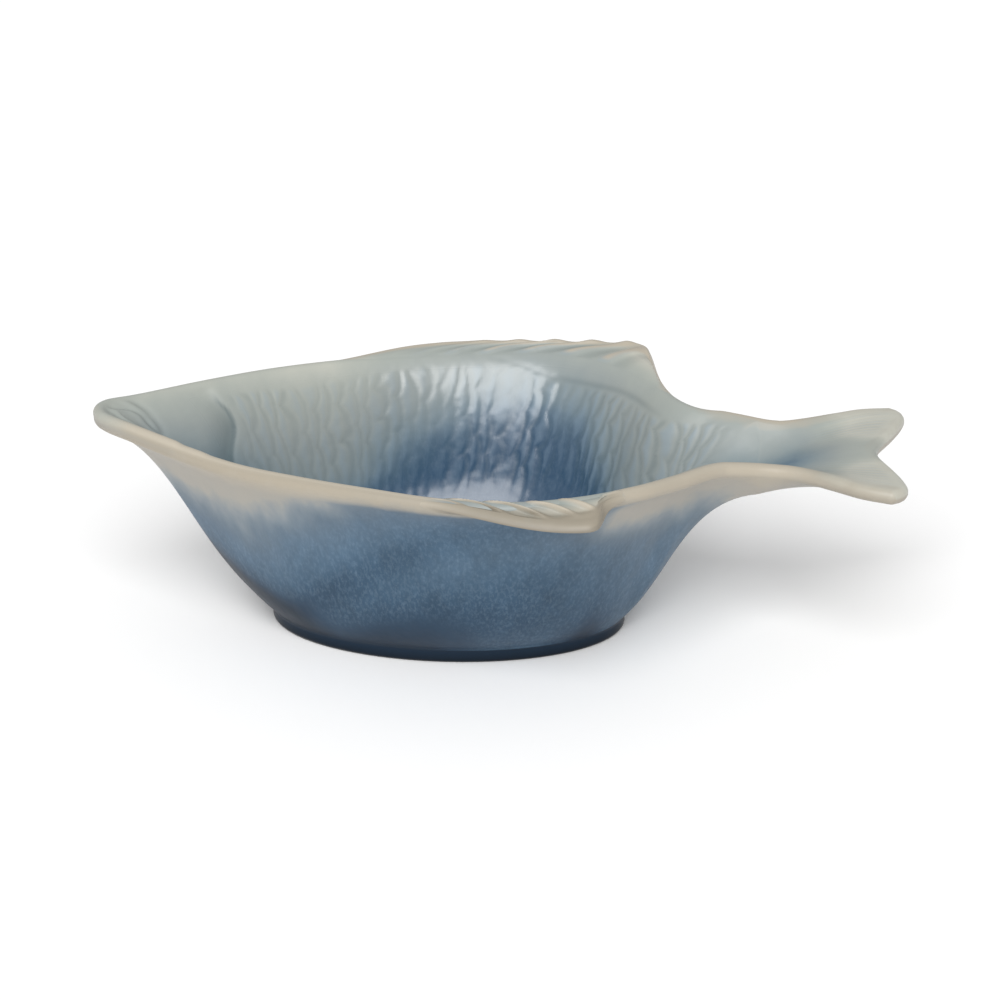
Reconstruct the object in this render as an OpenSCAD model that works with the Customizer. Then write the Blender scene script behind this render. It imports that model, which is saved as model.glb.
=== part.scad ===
// Fish shaped serving bowl of glazed stoneware.
// The mouth points to -X, the tail to +X, the dorsal fin to +Y and the belly fin to -Y.
// The table is at Z = 0, and the origin is under the middle of the whole bowl.

/* [Bowl] */
// Length from the mouth to the tips of the tail
length = 262; // [220:1:320]
// Width of the body over the outer edge of the rim, without the fins
body_w = 133; // [110:1:160]
// Height of the outer edge of the rim above the table
rim_h = 65; // [50:1:85]
// Thickness of the wall
wall = 5; // [3.5:0.1:6.5]
// Thickness of the floor
floor_t = 6; // [4:0.1:9]

/* [Foot] */
// Length of the oval foot
foot_l = 116; // [95:1:130]
// Width of the oval foot
foot_w = 69; // [52:1:84]
// Height of the foot ring
foot_h = 4.5; // [3:0.1:8]
// Width of the foot ring
ring_w = 7; // [5:0.1:12]
// Rounding of the lower edges of the foot ring
ring_r = 1.5; // [0.5:0.1:2.2]
// How far the middle of the foot lies towards the mouth
foot_shift = 16; // [5:0.5:25]

/* [Tail] */
// Length of the tail from its root to the tips of its lobes
tail_l = 47; // [38:1:60]
// Width of the root of the tail
root_w = 40; // [30:1:48]
// Spread of the tail over its lobes
tail_w = 67; // [54:1:90]
// Thickness of the tail
tail_t = 5; // [3.5:0.1:7]
// Depth of the notch between the lobes
notch = 9; // [3:0.5:16]
// Depth of the trough at the root
trough = 12; // [6:0.5:16]
// How far the root lies below the rim
root_drop = 3; // [0:0.5:8]
// How far the tips lie below the root
tip_drop = 1.5; // [0:0.5:8]

/* [Fins] */
// How far the fins reach out past the rim where the body is widest
fin_reach = 5.5; // [4:0.5:12]
// Thickness of the fins at their edge
fin_t = 4; // [2.5:0.1:5]
// How far the edge of the dorsal fin is lifted above the middle of the rim
dorsal_lift = 1.5; // [0:0.5:6]
// How far the edge of the belly fin droops below the middle of the rim
belly_droop = 3; // [0:0.5:6]
// How far the rays of the fins are swept towards the tail
ray_sweep = 6; // [2:0.5:12]
// Depth of the scallops along the edges of the fins
scallop = 1.2; // [0:0.1:2]
// Height of the rays over the hollows between them
ray_h = 1; // [0:0.1:2]
// Number of rays in the dorsal fin
dorsal_rays = 7; // [4:1:10]
// Number of rays in the belly fin
belly_rays = 4; // [2:1:6]

/* [Hidden] */

// Steps of the mesh: over the root, along plain rim, along a fin, up the wall and round an edge
root_steps = 10;
plain_steps = 7;
head_steps = 6;
mouth_steps = 10;
dorsal_steps = 36;
belly_steps = 20;
wall_steps = 9;
edge_steps = 6;
fillet_steps = 6;
tail_steps = 9;
tip_steps = 2;
fin_steps = 3;
foot_steps = 72;
ring_steps = 3;

// The rounded rim stands out past the outer edge of the wall by this share of the wall
rim_out_share = 0.3;
mouth_x = -length / 2 + rim_out_share * wall;
tip_x = length / 2 - tail_t / 2;
root_x = length / 2 - tail_l;
floor_z = foot_h + floor_t;

// Outline of the rim from the root of the tail to the mouth. Each row gives the turn about the foot as
// a share of a half turn, the station from mouth to root, the half width as a share of the body's and of
// the root's, and the drop as a share of the root's
dorsal_shares = [
    [0.080, 1.000, 0.000, 1.00, 1.00],
    [0.125, 0.944, 0.140, 0.70, 0.75],
    [0.180, 0.884, 0.335, 0.25, 0.50],
    [0.245, 0.830, 0.660, 0.00, 0.25],
    [0.325, 0.758, 0.890, 0.00, 0.10],
    [0.415, 0.665, 1.000, 0.00, 0.00],
    [0.515, 0.553, 0.980, 0.00, -0.05],
    [0.610, 0.442, 0.895, 0.00, -0.18],
    [0.700, 0.335, 0.765, 0.00, -0.28],
    [0.785, 0.237, 0.612, 0.00, -0.30],
    [0.860, 0.144, 0.427, 0.00, -0.22],
    [0.925, 0.064, 0.242, 0.00, -0.14],
    [0.970, 0.014, 0.112, 0.00, -0.20],
    [1.000, 0.000, 0.000, 0.00, -0.30]
];
// The belly side is fuller behind its fin, and its rim is higher there and lower at the cheek
belly_shares = [
    [0.080, 1.000, 0.000, 1.00, 1.00],
    [0.125, 0.944, 0.160, 0.70, 0.55],
    [0.180, 0.891, 0.490, 0.20, 0.30],
    [0.245, 0.833, 0.755, 0.00, -0.20],
    [0.325, 0.758, 0.920, 0.00, -0.40],
    [0.415, 0.665, 1.000, 0.00, -0.30],
    [0.515, 0.553, 0.980, 0.00, -0.20],
    [0.610, 0.442, 0.895, 0.00, -0.28],
    [0.700, 0.335, 0.765, 0.00, -0.05],
    [0.785, 0.237, 0.612, 0.00, 0.22],
    [0.860, 0.144, 0.427, 0.00, 0.10],
    [0.925, 0.064, 0.242, 0.00, -0.10],
    [0.970, 0.014, 0.112, 0.00, -0.20],
    [1.000, 0.000, 0.000, 0.00, -0.30]
];

// Control points of the wall's section between foot and rim, out and up: towards the tail, towards the mouth
// and at the sides
tail_wall_shares = [[0.34, 0.28], [0.44, 0.91]];
mouth_wall_shares = [[0.46, 0.24], [0.56, 0.91]];
side_wall_shares = [[0.50, 0.22], [0.56, 0.80]];
// How full the trough's section is
trough_power = 2.5;
// Wall row, from the foot up, where the inside starts to round into the floor
fillet_row = 4;
// Size of the flat of the floor, as a share of the foot's
floor_share = 0.4;

// Half width of the tail from root to lobes, between the root's and the lobes' half widths
tail_side_shares = [
    [0.00, 0.00],
    [0.20, 0.03],
    [0.40, 0.22],
    [0.60, 0.52],
    [0.80, 0.84],
    [1.00, 1.00]
];
// End of the tail from its middle to its side, as a share of the notch's depth
tail_end_shares = [
    [0.00, 0.00],
    [0.15, 0.12],
    [0.45, 0.58],
    [0.70, 0.90],
    [0.86, 1.00],
    [0.95, 0.92],
    [1.00, 0.68]
];
// Trough of the tail from root to end, as a share of its depth at the root
tail_trough_shares = [
    [0.00, 1.00],
    [0.25, 0.68],
    [0.50, 0.38],
    [0.75, 0.16],
    [1.00, 0.04]
];

// Where each fin starts and ends, as a share of a half turn about the foot
dorsal_span_shares = [0.190, 0.715];
belly_span_shares = [0.268, 0.545];
// The head's plain rim ends where the mouth starts, at this share of a half turn
mouth_turn_share = 0.89;
// Reach of each fin from its rear end to its front end. Each row gives the place along the fin, the reach
// as a share of the way from the rim to the fins' outer line, and the share of the rays' sweep
dorsal_reach_shares = [
    [0.000, 0.00, 0.00],
    [0.050, 0.08, -0.10],
    [0.080, 0.20, -0.30],
    [0.110, 0.46, -0.40],
    [0.145, 0.80, -0.05],
    [0.190, 0.97, 0.35],
    [0.300, 0.98, 0.80],
    [0.450, 0.88, 1.00],
    [0.620, 0.75, 1.00],
    [0.800, 0.45, 0.60],
    [0.920, 0.15, 0.20],
    [1.000, 0.00, 0.00]
];
belly_reach_shares = [
    [0.000, 0.00, 0.00],
    [0.050, 0.30, -0.50],
    [0.100, 0.68, -0.20],
    [0.160, 0.92, 0.15],
    [0.250, 1.00, 0.50],
    [0.400, 1.00, 0.80],
    [0.550, 0.88, 1.00],
    [0.750, 0.42, 0.60],
    [0.900, 0.12, 0.20],
    [1.000, 0.00, 0.00]
];
// A fin stands out past the rim by at least this share of its thickness, and fades out at its ends
fin_least_share = 0.1;
fin_fade_power = 4;
// Points round the rim's edge, of edge_steps, between which the fins are rooted
root_low = 1;
root_high = edge_steps - 1;

function unit(v) = v / norm(v);

function span(from, to, steps) = [for (i = [0 : steps - 1]) from + (to - from) * i / steps];

// Smooth curve through the rows of a table, read at a value of its first column
function row_at(table, t, i = 0) =
    i >= len(table) - 2 || t <= table[i + 1][0] ? i : row_at(table, t, i + 1);

function slope_at(table, i) =
    let (
        before = table[max(i - 1, 0)],
        after = table[min(i + 1, len(table) - 1)]
    )
    (after - before) / (after[0] - before[0]);

function along(table, t) =
    let (
        i = row_at(table, t),
        gap = table[i + 1][0] - table[i][0],
        u = (t - table[i][0]) / gap,
        rise = 3 * u ^ 2 - 2 * u ^ 3
    )
    table[i] * (1 - rise) + table[i + 1] * rise
    + slope_at(table, i) * gap * (u ^ 3 - 2 * u ^ 2 + u)
    + slope_at(table, i + 1) * gap * (u ^ 3 - u ^ 2);

// The outline runs smoothly over the mouth onto the other side
function past_mouth(table) =
    let (row = table[len(table) - 2])
    concat(table, [[2 - row[0], row[1], -row[2], row[3], row[4]]]);

dorsal_table = past_mouth(dorsal_shares);
belly_table = past_mouth(belly_shares);

// Turns about the foot at which the wall is cut into strips
half_turn = 180;
root_turn = half_turn * dorsal_shares[0][0];
dorsal_turns = half_turn * dorsal_span_shares;
belly_turns = half_turn * belly_span_shares;
mouth_turn = half_turn * mouth_turn_share;
turns = concat(
    span(-root_turn, root_turn, root_steps),
    span(root_turn, dorsal_turns[0], plain_steps),
    span(dorsal_turns[0], dorsal_turns[1], dorsal_steps),
    span(dorsal_turns[1], mouth_turn, head_steps),
    span(mouth_turn, 2 * half_turn - mouth_turn, mouth_steps),
    span(2 * half_turn - mouth_turn, 2 * half_turn - belly_turns[1], 2 * head_steps),
    span(2 * half_turn - belly_turns[1], 2 * half_turn - belly_turns[0], belly_steps),
    span(2 * half_turn - belly_turns[0], 2 * half_turn - root_turn, plain_steps)
);
strips = len(turns);
dorsal_first = root_steps + plain_steps;
belly_first = dorsal_first + dorsal_steps + mouth_steps + 3 * head_steps;

function foot_point(turn) = [
    foot_l / 2 * cos(turn) - foot_shift,
    foot_w / 2 * sin(turn),
    foot_h
];

function rim_side(table, turn) =
    let (row = along(table, turn / half_turn))
    [
        mouth_x + row[1] * (root_x - mouth_x),
        row[2] * body_w / 2 + row[3] * root_w / 2,
        rim_h - row[4] * root_drop
    ];

function root_point(across) = [
    root_x,
    across * root_w / 2,
    rim_h - root_drop - trough * (1 - abs(across) ^ trough_power)
];

function mirrored(p) = [p[0], -p[1], p[2]];

// Outer edge of the rim, and of the root's section, at a turn about the foot
function rim_point(turn) =
    let (t = turn > half_turn ? turn - 2 * half_turn : turn)
    abs(t) < root_turn ? root_point(t / root_turn)
    : t > 0 ? rim_side(dorsal_table, t)
    : mirrored(rim_side(belly_table, -t));

// Share of the way out and up from foot to rim, part way along the wall's section
function wall_section(turn, s) =
    let (
        forward = (1 - cos(turn)) / 2,
        ends = tail_wall_shares + forward * (mouth_wall_shares - tail_wall_shares),
        points = ends + sin(turn) ^ 2 * (side_wall_shares - ends)
    )
    3 * (1 - s) ^ 2 * s * points[0] + 3 * (1 - s) * s ^ 2 * points[1] + s ^ 3 * [1, 1];

foot_points = [for (turn = turns) foot_point(turn)];
rim_points = [for (turn = turns) rim_point(turn)];

// Outside of the wall, row by row from the foot to the rim
outer_rows = [for (j = [0 : wall_steps])
    [for (i = [0 : strips - 1])
        let (
            way = rim_points[i] - foot_points[i],
            share = wall_section(turns[i], j / wall_steps)
        )
        foot_points[i] + [way[0] * share[0], way[1] * share[0], way[2] * share[1]]]
];

// Direction square to the outside of the wall, into the bowl
function into_bowl(j, i) =
    let (
        round_way = outer_rows[j][(i + 1) % strips] - outer_rows[j][(i + strips - 1) % strips],
        up_way = outer_rows[min(j + 1, wall_steps)][i] - outer_rows[max(j - 1, 0)][i]
    )
    unit(cross(up_way, round_way));

// Inside of the wall, from the row where it starts to round into the floor up to the rim
inner_rows = [for (j = [fillet_row : wall_steps])
    [for (i = [0 : strips - 1]) outer_rows[j][i] + wall * into_bowl(j, i)]
];
inner_top = inner_rows[wall_steps - fillet_row];

// Round from the wall into the floor: the wall's line is carried down to the floor, and the corner is cut
function fillet_point(i, s) =
    let (
        start = inner_rows[0][i],
        down = start - inner_rows[1][i],
        corner = start + down * (floor_z - start[2]) / down[2],
        foot = foot_point(turns[i]),
        end = [(foot[0] + foot_shift) * floor_share - foot_shift, foot[1] * floor_share, floor_z]
    )
    start * (1 - s) ^ 2 + corner * 2 * s * (1 - s) + end * s ^ 2;

fillet_rows = [for (j = [1 : fillet_steps])
    [for (i = [0 : strips - 1]) fillet_point(i, j / fillet_steps)]
];

// Rounded edge between the two faces of a wall: points from the lower to the upper face
function edge_point(low, high, out, k) =
    let (middle = (low + high) / 2)
    middle + (low - middle) * cos(half_turn * k / edge_steps)
    + out * norm(low - middle) * sin(half_turn * k / edge_steps);

// Direction out past the rim, square to its line. The root's own section is flat
function rim_way(i) =
    i == root_steps ? unit(rim_points[i + 1] - rim_points[i]) - [1, 0, 0]
    : i == 0 ? unit(rim_points[0] - rim_points[strips - 1]) + [1, 0, 0]
    : rim_points[(i + 1) % strips] - rim_points[i - 1];

function rim_out(i) =
    i > 0 && i < root_steps ? [0, 0, 0]
    : unit(cross(rim_way(i), inner_top[i] - rim_points[i]));

rim_outs = [for (i = [0 : strips - 1]) rim_out(i)];

function rim_edge(i, k) = edge_point(rim_points[i], inner_top[i], rim_outs[i], k);

edge_rows = [for (k = [1 : edge_steps - 1]) [for (i = [0 : strips - 1]) rim_edge(i, k)]];

function reversed(list) = [for (i = [len(list) - 1 : -1 : 0]) list[i]];

function joined(lists) = [for (list = lists) for (item = list) item];

// Skin over rows of points, each row a closed loop of as many points
function skin_faces(rows) =
    let (n = len(rows[0]))
    [for (j = [0 : len(rows) - 2]) for (i = [0 : n - 1])
        let (
            a = j * n + i,
            b = j * n + (i + 1) % n
        )
        each [[a, a + n, b + n], [a, b + n, b]]];

// Cap over a thin loop whose points from 0 to last lie opposite those from its end back
function ladder_faces(first, count, start) =
    [for (k = [0 : first - 2])
        each [
            [start + k, start + k + 1, start + count - 2 - k],
            [start + k, start + count - 2 - k, start + count - 1 - k]
        ]];

function flipped(faces) = [for (face = faces) [face[2], face[1], face[0]]];

module bowl() {
    rows = concat(outer_rows, edge_rows, reversed(inner_rows), fillet_rows);
    last = (len(rows) - 1) * strips;
    caps = [
        [for (i = [0 : strips - 1]) i],
        [for (i = [strips - 1 : -1 : 0]) last + i]
    ];
    color("steelblue")
    polyhedron(joined(rows), concat(skin_faces(rows), caps));
}

// Section of the foot ring at a turn: up its inner side, then down and round its outer side
function ring_section(turn) =
    let (
        out = [cos(turn), sin(turn), 0],
        up = [0, 0, 1],
        edge = foot_point(turn) - foot_h * up,
        inner = [(foot_l / 2 - ring_w) * cos(turn) - foot_shift, (foot_w / 2 - ring_w) * sin(turn), 0]
    )
    concat(
        [inner + foot_h * up, edge + foot_h * up],
        [for (k = [0 : ring_steps])
            let (a = half_turn / 2 * k / ring_steps)
            edge + ring_r * (cos(a) - 1) * out + ring_r * (1 - sin(a)) * up],
        [for (k = [0 : ring_steps])
            let (a = half_turn / 2 * k / ring_steps)
            inner + ring_r * (1 - sin(a)) * out + ring_r * (1 - cos(a)) * up]
    );

module foot_ring() {
    rows = [for (i = [0 : foot_steps]) ring_section(2 * half_turn * i / foot_steps)];
    color("midnightblue")
    polyhedron(joined(rows), skin_faces(rows));
}

// Underside of the tail from root to end and across from the belly side to the dorsal side
function tail_point(lengthways, across) =
    let (
        share = along(tail_side_shares, lengthways)[1],
        end_x = tip_x - notch * (1 - along(tail_end_shares, abs(across))[1]),
        depth = trough * along(tail_trough_shares, lengthways)[1],
        edge_z = rim_h - root_drop - tip_drop * lengthways
    )
    [
        root_x + lengthways * (end_x - root_x),
        across * (root_w + share * (tail_w - root_w)) / 2,
        edge_z - depth * (1 - abs(across) ^ trough_power)
    ];

// Thickness of the tail, from that of the wall at the root
function tail_thickness(lengthways) = wall + (tail_t - wall) * lengthways;

tail_under = [for (j = [0 : tail_steps]) [for (k = [0 : root_steps])
    j == 0 ? rim_points[k] : tail_point(j / tail_steps, 2 * k / root_steps - 1)]];

function tail_up(j, k) =
    let (
        back_way = tail_under[min(j + 1, tail_steps)][k] - tail_under[max(j - 1, 0)][k],
        side_way = tail_under[j][min(k + 1, root_steps)] - tail_under[j][max(k - 1, 0)]
    )
    unit(cross(back_way, side_way));

tail_over = [for (j = [0 : tail_steps]) [for (k = [0 : root_steps])
    j == 0 ? inner_top[k] : tail_under[j][k] + tail_thickness(j / tail_steps) * tail_up(j, k)]];

// Direction out past the side of the tail
function tail_out(j, k, side) =
    j == 0 ? rim_outs[k]
    : let (way = tail_under[min(j + 1, tail_steps)][k] - tail_under[j - 1][k])
      unit(cross(tail_over[j][k] - tail_under[j][k], way)) * side;

function tail_loop(j) = concat(
    tail_under[j],
    [for (e = [1 : edge_steps - 1])
        edge_point(tail_under[j][root_steps], tail_over[j][root_steps], tail_out(j, root_steps, 1), e)],
    reversed(tail_over[j]),
    [for (e = [edge_steps - 1 : -1 : 1])
        edge_point(tail_under[j][0], tail_over[j][0], tail_out(j, 0, -1), e)]
);

// Place across the tail of each point of its loop, as an index from 0 to root_steps
tail_places = concat(
    [for (k = [0 : root_steps]) k],
    [for (e = [1 : edge_steps - 1]) root_steps],
    [for (k = [root_steps : -1 : 0]) k],
    [for (e = [1 : edge_steps - 1]) 0]
);

// Rounded end of the tail: the last loop is drawn in towards its middle and moved out
function tail_end_loop(turn) =
    let (loop = tail_loop(tail_steps))
    [for (p = [0 : len(loop) - 1])
        let (
            k = tail_places[p],
            low = tail_under[tail_steps][k],
            high = tail_over[tail_steps][k],
            middle = (low + high) / 2,
            back = unit(low - tail_under[tail_steps - 1][k])
        )
        middle + (loop[p] - middle) * cos(turn) + back * norm(high - low) / 2 * sin(turn)];

// The end is rounded to this turn, short of a knife edge
end_turn = 80;

module tail() {
    rows = concat(
        [for (j = [0 : tail_steps]) tail_loop(j)],
        [for (k = [1 : tip_steps]) tail_end_loop(end_turn * k / tip_steps)]
    );
    n = len(rows[0]);
    half = n / 2;
    last = (len(rows) - 1) * n;
    // The loop is turned so that its two halves lie opposite each other
    shift = (edge_steps - 1) / 2;
    turned = [for (row = rows) [for (i = [0 : n - 1]) row[(i - floor(shift) + n) % n]]];
    color("lightsteelblue")
    polyhedron(
        joined(turned),
        concat(skin_faces(turned), ladder_faces(half, n, 0), flipped(ladder_faces(half, n, last)))
    );
}

// Middle of a fin's edge at one strip of the rim, for a row of its table
function fin_edge(i, row, side, lift, rays) =
    let (
        base = rim_edge(i, edge_steps / 2),
        wave = cos(2 * half_turn * rays * row[0]) / 2,
        line = (body_w + wall) / 2 + fin_reach - fin_t / 2 - scallop * (1 / 2 - wave)
    )
    base + [ray_sweep * row[2], side * row[1] * (line - abs(base[1])), row[1] * (ray_h * wave + lift)];

// Full section of a fin: over its top, round its edge and back below
function fin_section(i, edge) =
    let (
        top = rim_edge(i, root_high),
        under = rim_edge(i, root_low),
        half = fin_t / 2,
        up = unit(top - under),
        out = unit(edge - (top + under) / 2)
    )
    concat(
        [for (k = [0 : fin_steps - 1]) top + (edge + half * up - top) * k / fin_steps],
        [for (k = [0 : edge_steps])
            let (a = half_turn * k / edge_steps)
            edge + half * (up * cos(a) + out * sin(a))],
        [for (k = [fin_steps - 1 : -1 : 0]) under + (edge - half * up - under) * k / fin_steps]
    );

// Thin crescent along the rim's rounded edge, to which a fin fades out at its ends
function fin_crescent(i, count) = [for (k = [0 : count - 1])
    let (share = k / (count - 1))
    rim_edge(i, root_high + (root_low - root_high) * share)
    + fin_least_share * fin_t * sin(half_turn * share) * rim_outs[i]];

// Loop round a fin at one strip of the rim: over its top, round its edge, back below and up its root
function fin_loop(i, row, side, lift, rays) =
    let (
        full = fin_section(i, fin_edge(i, row, side, lift, rays)),
        crescent = fin_crescent(i, len(full))
    )
    concat(
        full + (crescent - full) * (1 - row[1]) ^ fin_fade_power,
        [for (k = [root_low + 1 : root_high - 1]) rim_edge(i, k)]
    );

// A fin from its first strip, which is its rear end on the dorsal side and its front end on the belly side
module fin(first, steps, table, side, lift, rays) {
    rows = [for (j = [0 : steps])
        let (place = side > 0 ? j / steps : 1 - j / steps)
        fin_loop(first + j, along(table, place), side, lift, rays)];
    n = len(rows[0]);
    last = steps * n;
    color("lightblue")
    polyhedron(joined(rows), concat(
        skin_faces(rows),
        [[for (i = [0 : n - 1]) i]],
        [[for (i = [n - 1 : -1 : 0]) last + i]]
    ));
}

module dorsal_fin() {
    fin(dorsal_first, dorsal_steps, dorsal_reach_shares, 1, dorsal_lift, dorsal_rays);
}

module belly_fin() {
    fin(belly_first, belly_steps, belly_reach_shares, -1, -belly_droop, belly_rays);
}

bowl();
foot_ring();
tail();
dorsal_fin();
belly_fin();
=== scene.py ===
import math
from functools import partial
import bpy
import numpy as np
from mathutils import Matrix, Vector


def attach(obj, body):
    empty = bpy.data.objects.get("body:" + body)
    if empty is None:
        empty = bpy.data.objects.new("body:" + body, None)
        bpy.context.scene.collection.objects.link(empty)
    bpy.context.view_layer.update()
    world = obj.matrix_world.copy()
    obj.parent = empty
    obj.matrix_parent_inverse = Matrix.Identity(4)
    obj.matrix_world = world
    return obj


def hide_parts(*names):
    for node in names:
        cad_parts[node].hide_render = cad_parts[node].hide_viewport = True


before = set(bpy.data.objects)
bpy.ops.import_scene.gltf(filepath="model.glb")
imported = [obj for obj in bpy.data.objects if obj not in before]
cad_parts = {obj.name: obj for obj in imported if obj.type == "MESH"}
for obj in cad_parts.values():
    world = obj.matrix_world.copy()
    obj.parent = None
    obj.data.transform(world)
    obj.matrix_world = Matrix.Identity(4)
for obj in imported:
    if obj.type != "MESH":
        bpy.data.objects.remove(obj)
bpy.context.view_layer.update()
print("stage: frame loaded")


# small helpers for shapes, all in millimetres until a mesh is made
def blend(a, b, share):
    return a + (b - a) * share


def unit(v):
    return v / np.maximum(np.linalg.norm(v, axis=-1, keepdims=True), 1e-12)


def smoothStep(low, high, x):
    u = np.clip((np.asarray(x, float) - low) / (high - low), 0, 1)
    return u * u * (3 - 2 * u)


def falling(low, high, x):
    return 1 - smoothStep(low, high, x)


# shown between two ends, with a fade at each
def within(ends, x):
    return smoothStep(*ends[:2], x) * falling(*ends[2:], x)


def bump(x, width):
    return np.exp(-(np.asarray(x, float) / width) ** 2)


def lengthAlong(points):
    steps = np.linalg.norm(np.diff(points, axis=0), axis=-1)
    return np.concatenate([np.zeros_like(steps[:1]), np.cumsum(steps, axis=0)])


easing = 0.25  # how far a point goes towards its neighbours in one round


# a line of points is drawn smooth between its two ends
def eased(line, rounds, soft=easing):
    for _ in range(rounds):
        line[1:-1] += soft * (line[:-2] - 2 * line[1:-1] + line[2:])
    return line


# a smooth curve through the rows of a table, by its first column
def curveThrough(rows, t):
    rows, t = np.asarray(rows, float), np.asarray(t, float)
    x = rows[:, 0]
    n = np.arange(len(x))
    before, after = np.maximum(n - 1, 0), np.minimum(n + 1, len(x) - 1)
    slope = (rows[after] - rows[before]) / (x[after] - x[before])[:, None]
    i = np.clip(np.searchsorted(x, t) - 1, 0, len(x) - 2)
    gap = (x[i + 1] - x[i])[:, None]
    u = (t - x[i])[:, None] / gap
    return (blend(rows[i], rows[i + 1], 3 * u ** 2 - 2 * u ** 3)
            + slope[i] * gap * (u ** 3 - 2 * u ** 2 + u) + slope[i + 1] * gap * (u ** 3 - u ** 2))


def smoothAt(rows, t):
    t = np.clip(t, rows[0][0], rows[-1][0])
    return curveThrough(rows, t.ravel())[:, 1].reshape(t.shape)


def tableAt(rows, t, column=1):
    rows = np.asarray(rows, float)
    return np.interp(t, rows[:, 0], rows[:, column])


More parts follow.
